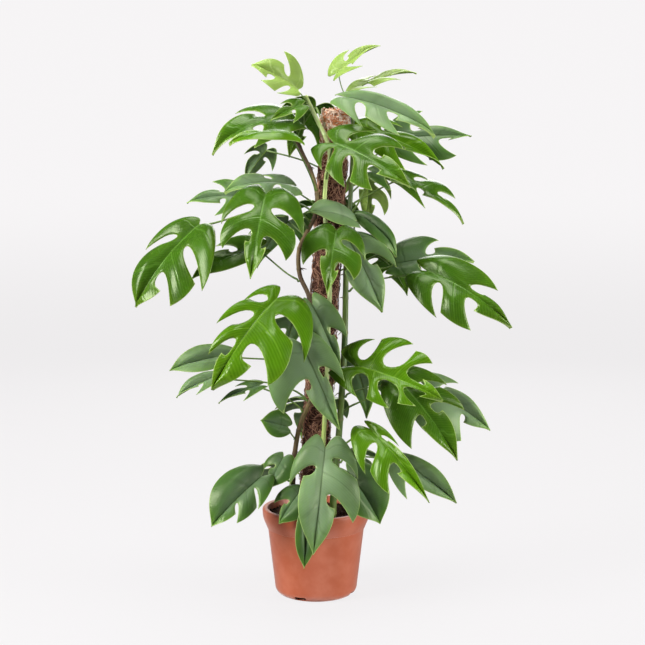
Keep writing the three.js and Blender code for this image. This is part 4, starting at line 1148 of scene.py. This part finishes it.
STRAND_SEED = 11
STRAND_PARTS = 6  # points along a strand
STRAND_LENGTH = (14, 44)
STRAND_CURL = (0.45, 0.25)  # how much a strand turns at each point, the same way and at random
STRAND_LAYER = (23.2, 1.6)  # radius of the innermost, and depth of the layer
STRAND_LOOSE = 3.2  # how far the middle of a strand may stand off
STRAND_WIDTHS = (0.7, 1.3)  # times the usual
FRAYED = 0.11  # share of the strands that start at the top
FRAYED_DEEP = 12  # how far below the top they start
FRAYED_HIGH = 12  # how far a strand may stand over the top
FRAYED_THICK = 1.6  # times a strand's width
TOP_BAND = 3  # how far below the top they start to turn in over it
TOP_TURN = 13  # how far in they may turn
TOP_HOLE = 9  # radius that they leave free there
STRAND_CORNERS = (0, 2.094, 4.189)  # a strand has three sides


def upright_to_pole(places):
    """Carries places on an upright pole over the origin to the leaning pole."""
    lean = Vector((0, 0, 1)).rotation_difference((POLE_TOP - POLE_FOOT).normalized()).to_matrix()
    return places @ np.array(lean).T + np.array(POLE_FOOT)


def make_sleeve(tall):
    """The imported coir: a tube with an uneven skin and a thick wall."""
    bpy.ops.mesh.primitive_circle_add(
        vertices=SLEEVE_SIDES, radius=1, fill_type="NOTHING", location=(0, 0, 0))
    sleeve = bpy.context.object
    step = {"value": (0, 0, (tall - SLEEVE_SHORT * MM) / SLEEVE_RINGS)}
    with editing():
        for _ in range(SLEEVE_RINGS):
            bpy.ops.mesh.extrude_region_move(TRANSFORM_OT_translate=step)
        bpy.ops.mesh.select_all(action="SELECT")
        bpy.ops.mesh.normals_make_consistent(inside=False)
    places = places_of(sleeve.data)
    for place in places:
        spot = Vector((place[0] * TUFT_RADIUS * MM, place[1] * TUFT_RADIUS * MM, place[2]))
        uneven = sum(high * noise.noise(spot * fine) for fine, high in TUFTS)
        place[:2] *= (SLEEVE_RADIUS + uneven) * MM
    set_places(sleeve.data, upright_to_pole(places))
    modified(sleeve, "packed", "SOLIDIFY", thickness=SLEEVE_WALL * MM, offset=-1)
    give_values(sleeve.data, "strand", np.zeros(len(sleeve.data.vertices)))
    return sleeve


def strand_paths(draw, count, frayed, tall):
    """The way of each strand on the upright pole, and the way outwards at each of its points."""
    length = draw.uniform(*STRAND_LENGTH, count) * MM
    heading = draw.uniform(0, 2 * np.pi, count)
    same, other = STRAND_CURL
    curl = draw.normal(0, same, (count, 1)) + draw.normal(0, other, (count, STRAND_PARTS))
    turned = heading[:, None] + np.cumsum(curl, axis=1)
    reach = length[:, None] / STRAND_PARTS
    height = draw.uniform(0, tall, count)
    height[frayed] = tall - draw.uniform(0, FRAYED_DEEP, frayed.sum()) * MM
    height = height[:, None] + np.cumsum(np.sin(turned) * reach, axis=1)
    around = np.cumsum(np.cos(turned) * reach, axis=1) / (POLE_RADIUS * MM)
    angle = draw.uniform(0, 2 * np.pi, count)[:, None] + around
    top = tall + draw.uniform(0, FRAYED_HIGH, (count, 1)) * MM
    height = np.clip(height, 1 * MM, top)
    along = np.linspace(0, 1, STRAND_PARTS)[None, :]
    loose = (draw.random(count) ** 3)[:, None] * STRAND_LOOSE * np.sin(np.pi * along)
    inner, deep = STRAND_LAYER
    radius = (inner + draw.uniform(0, deep, (count, 1)) + loose) * MM
    turned_in = radius - draw.uniform(0, TOP_TURN, (count, 1)) * MM
    radius = np.where(height > tall - TOP_BAND * MM, turned_in, radius)
    radius = np.maximum(radius, TOP_HOLE * MM)
    outward = np.stack([np.cos(angle), np.sin(angle), np.zeros_like(angle)], axis=2)
    path = outward * radius[:, :, None]
    path[:, :, 2] = height
    return path, outward


def make_strands(settings, tall):
    """The loose fibres: short curled strands with three sides, thin at both ends."""
    draw = np.random.default_rng(STRAND_SEED)
    count, parts = settings.strands, STRAND_PARTS
    frayed = draw.random(count) < FRAYED
    path, outward = strand_paths(draw, count, frayed, tall)
    run = np.gradient(path, axis=1)
    run /= np.linalg.norm(run, axis=2, keepdims=True) + 1e-12
    beside = np.cross(run, outward)
    beside /= np.linalg.norm(beside, axis=2, keepdims=True) + 1e-9
    raised = np.cross(beside, run)
    along = np.linspace(0, 1, parts)[None, :]
    taper = 0.35 + 0.65 * np.sin(np.pi * (0.12 + 0.76 * along))
    thick = settings.strand_radius * taper * draw.uniform(*STRAND_WIDTHS, (count, 1))
    thick[frayed] *= FRAYED_THICK
    thick = thick[:, :, None]
    rings = [path + thick * (math.cos(a) * raised + math.sin(a) * beside) for a in STRAND_CORNERS]
    points = upright_to_pole(np.stack(rings, axis=2).reshape(-1, 3))
    one = [(3 * i + j, 3 * i + (j + 1) % 3, 3 * i + 3 + (j + 1) % 3, 3 * i + 3 + j)
           for i in range(parts - 1) for j in range(3)]
    one += [(2, 1, 0), tuple(3 * parts - 3 + j for j in range(3))]
    faces = [tuple(first + v for v in face) for first in range(0, 3 * parts * count, 3 * parts)
             for face in one]
    strands = mesh_piece("fibres", points, faces)
    give_values(strands.data, "strand", np.repeat(draw.random(count) ** 0.7, 3 * parts))
    return strands


class PLANT_OT_add_pole(bpy.types.Operator):
    """Add the coir pole: its packed sleeve, the loose fibres round it and the frayed top"""

    bl_idname = "plant.add_pole"
    bl_label = "Coir pole"

    def execute(self, context):
        settings = context.scene.plant_pole
        tall = (POLE_TOP - POLE_FOOT).length
        coir = joined([make_sleeve(tall), make_strands(settings, tall)])
        bpy.ops.object.shade_smooth()
        finished(coir, "coir_sleeve", ["pole_coir"], [coir_fibre(settings)])
        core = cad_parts["pole_core"]
        core.data.materials.clear()
        core.data.materials.append(pole_wood())
        return {"FINISHED"}


# ---- the stems and the leaves, in millimetres ------------------------------------------------

FIRST_NODE = 90  # over the foot of a stem, in the soil
NODE_SPREAD = (0.75, 1.25)  # times the usual distance
NODE_WIDTH = 2.2  # over which a stem swells at a node
NODE_SWELL = (0.96, 0.14)  # times the radius away from nodes, and more at one
SCAR_WIDTH = 1.3

ROOTS_AT_NODE = (0, 1, 1, 2)
ROOT_OFF = 2  # how far from its node a clinging root may start
ROOT_ASIDE = 0.9  # how far it may turn from the pole
ROOT_REACH = (5, 11)
ROOT_DROOP = (1, 6)
ROOT_MIDDLE = 0.55  # where it starts to droop, over its reach
ROOT_RADII = (1.3, 1.0, 0.4)
ROOT_BROWN = 0.85

STALK_MATERIAL = 2  # its place among a leaf's materials


def near_node(nodes, height, width):
    """1 at a node of the stem, and less the further from it."""
    return math.exp(-(np.abs(nodes - height).min() / (width * MM)) ** 2)


def clinging_root(chance, stem, height):
    """A short root from the stem to the pole."""
    place, _, radius = stem_at(stem, height + chance.uniform(-ROOT_OFF, ROOT_OFF) * MM)
    share = (place.z - POLE_FOOT.z) / (POLE_TOP.z - POLE_FOOT.z)
    inward = POLE_FOOT.lerp(POLE_TOP, share) - place
    inward.z = 0
    side = Vector((-inward.y, inward.x, 0)).normalized()
    side *= chance.uniform(-ROOT_ASIDE, ROOT_ASIDE)
    aim = (inward.normalized() + side).normalized()
    reach = chance.uniform(*ROOT_REACH) * MM + radius
    droop = Vector((0, 0, -chance.uniform(*ROOT_DROOP) * MM))
    path = [place, place + aim * reach * ROOT_MIDDLE, place + aim * reach + droop]
    root = bar("root", path, [radius * MM for radius in ROOT_RADII], 1)
    give_values(root.data, "node", np.full(len(root.data.vertices), ROOT_BROWN))
    return root


class PLANT_OT_add_stems(bpy.types.Operator):
    """Add the four climbing stems, with their nodes and aerial roots"""

    bl_idname = "plant.add_stems"
    bl_label = "Stems"

    def execute(self, context):
        settings = context.scene.plant_stems
        for name, stem in STEMS.items():
            points = stem_points(name)
            path = [stem_point(points, i / STEM_PARTS) for i in range(STEM_PARTS + 1)]
            chance = random.Random(name)
            nodes, height = [], path[0].z + FIRST_NODE * MM
            while height < path[-1].z:
                nodes.append(height)
                height += stem.nodes * MM * chance.uniform(*NODE_SPREAD)
            nodes = np.array(nodes)
            first, last = stem.radii
            plain, more = NODE_SWELL
            radii = [(first + (last - first) * i / STEM_PARTS) * MM
                     * (plain + more * near_node(nodes, place.z, NODE_WIDTH))
                     for i, place in enumerate(path)]
            bars = [bar(f"stem_{name}", path, radii, 6)]
            give_values(bars[0].data, "node", [
                near_node(nodes, place[2], SCAR_WIDTH) for place in places_of(bars[0].data)])
            for height in nodes[1:-1]:
                for _ in range(chance.choice(ROOTS_AT_NODE)):
                    bars.append(clinging_root(chance, name, height))
            whole = joined(bars)
            bpy.ops.object.shade_smooth()
            finished(whole, f"climbing_stem_{name}", [f"stem_{name}"],
                     [stem_bark(stem.bark, settings)])
        return {"FINISHED"}


class PLANT_OT_add_leaves(bpy.types.Operator):
    """Add every leaf: its cut and arched blade, its stalk and its midrib"""

    bl_idname = "plant.add_leaves"
    bl_label = "Leaves"

    def execute(self, context):
        settings = context.scene.plant_leaves
        stalk_skin = petiole_skin(settings)
        skins = {tone: (leaf_upper(tone, settings), leaf_under(tone, settings), stalk_skin)
                 for tone in LEAF_LIGHT}
        for leaf in LEAVES:
            blade, matrix, length = make_blade(leaf, settings)
            stalk = make_stalk(leaf, matrix, length)
            for material in skins[leaf.tone]:
                blade.data.materials.append(material)
                stalk.data.materials.append(material)
            faces = stalk.data.polygons
            faces.foreach_set("material_index", [STALK_MATERIAL] * len(faces))
            whole = joined([blade, stalk])
            bpy.ops.object.shade_smooth()
            finished(whole, f"monstera_leaf_{leaf.name}", [f"leaf_{leaf.name}"])
        return {"FINISHED"}


# ---- the add-on ------------------------------------------------------------------------------

PIECES = (
    (PLANT_OT_add_stage, "plant_stage", StageSettings),
    (PLANT_OT_add_pot, "plant_pot", PotSettings),
    (PLANT_OT_add_soil, "plant_soil", SoilSettings),
    (PLANT_OT_add_pole, "plant_pole", PoleSettings),
    (PLANT_OT_add_stems, "plant_stems", StemSettings),
    (PLANT_OT_add_leaves, "plant_leaves", LeafSettings),
)


class PLANT_PT_panel(bpy.types.Panel):
    """Lists what makes the plant, and its settings"""

    bl_label = "Mini monstera"
    bl_idname = "PLANT_PT_panel"
    bl_space_type = "VIEW_3D"
    bl_region_type = "UI"
    bl_category = "Plant"

    def draw(self, context):
        for operator, group, _ in PIECES:
            box = self.layout.box()
            box.operator(operator.bl_idname)
            settings = getattr(context.scene, group)
            for name in settings.__annotations__:
                box.prop(settings, name)


def register():
    for operator, group, settings in PIECES:
        bpy.utils.register_class(settings)
        setattr(bpy.types.Scene, group, PointerProperty(type=settings))
        bpy.utils.register_class(operator)
    bpy.utils.register_class(PLANT_PT_panel)


def unregister():
    bpy.utils.unregister_class(PLANT_PT_panel)
    for operator, group, settings in reversed(PIECES):
        bpy.utils.unregister_class(operator)
        delattr(bpy.types.Scene, group)
        bpy.utils.unregister_class(settings)


def main():
    """Makes every piece in order."""
    register()
    bpy.ops.plant.add_stage()
    bpy.ops.plant.add_pot()
    bpy.ops.plant.add_soil()
    bpy.ops.plant.add_pole()
    bpy.ops.plant.add_stems()
    bpy.ops.plant.add_leaves()


if __name__ == "__main__":
    main()
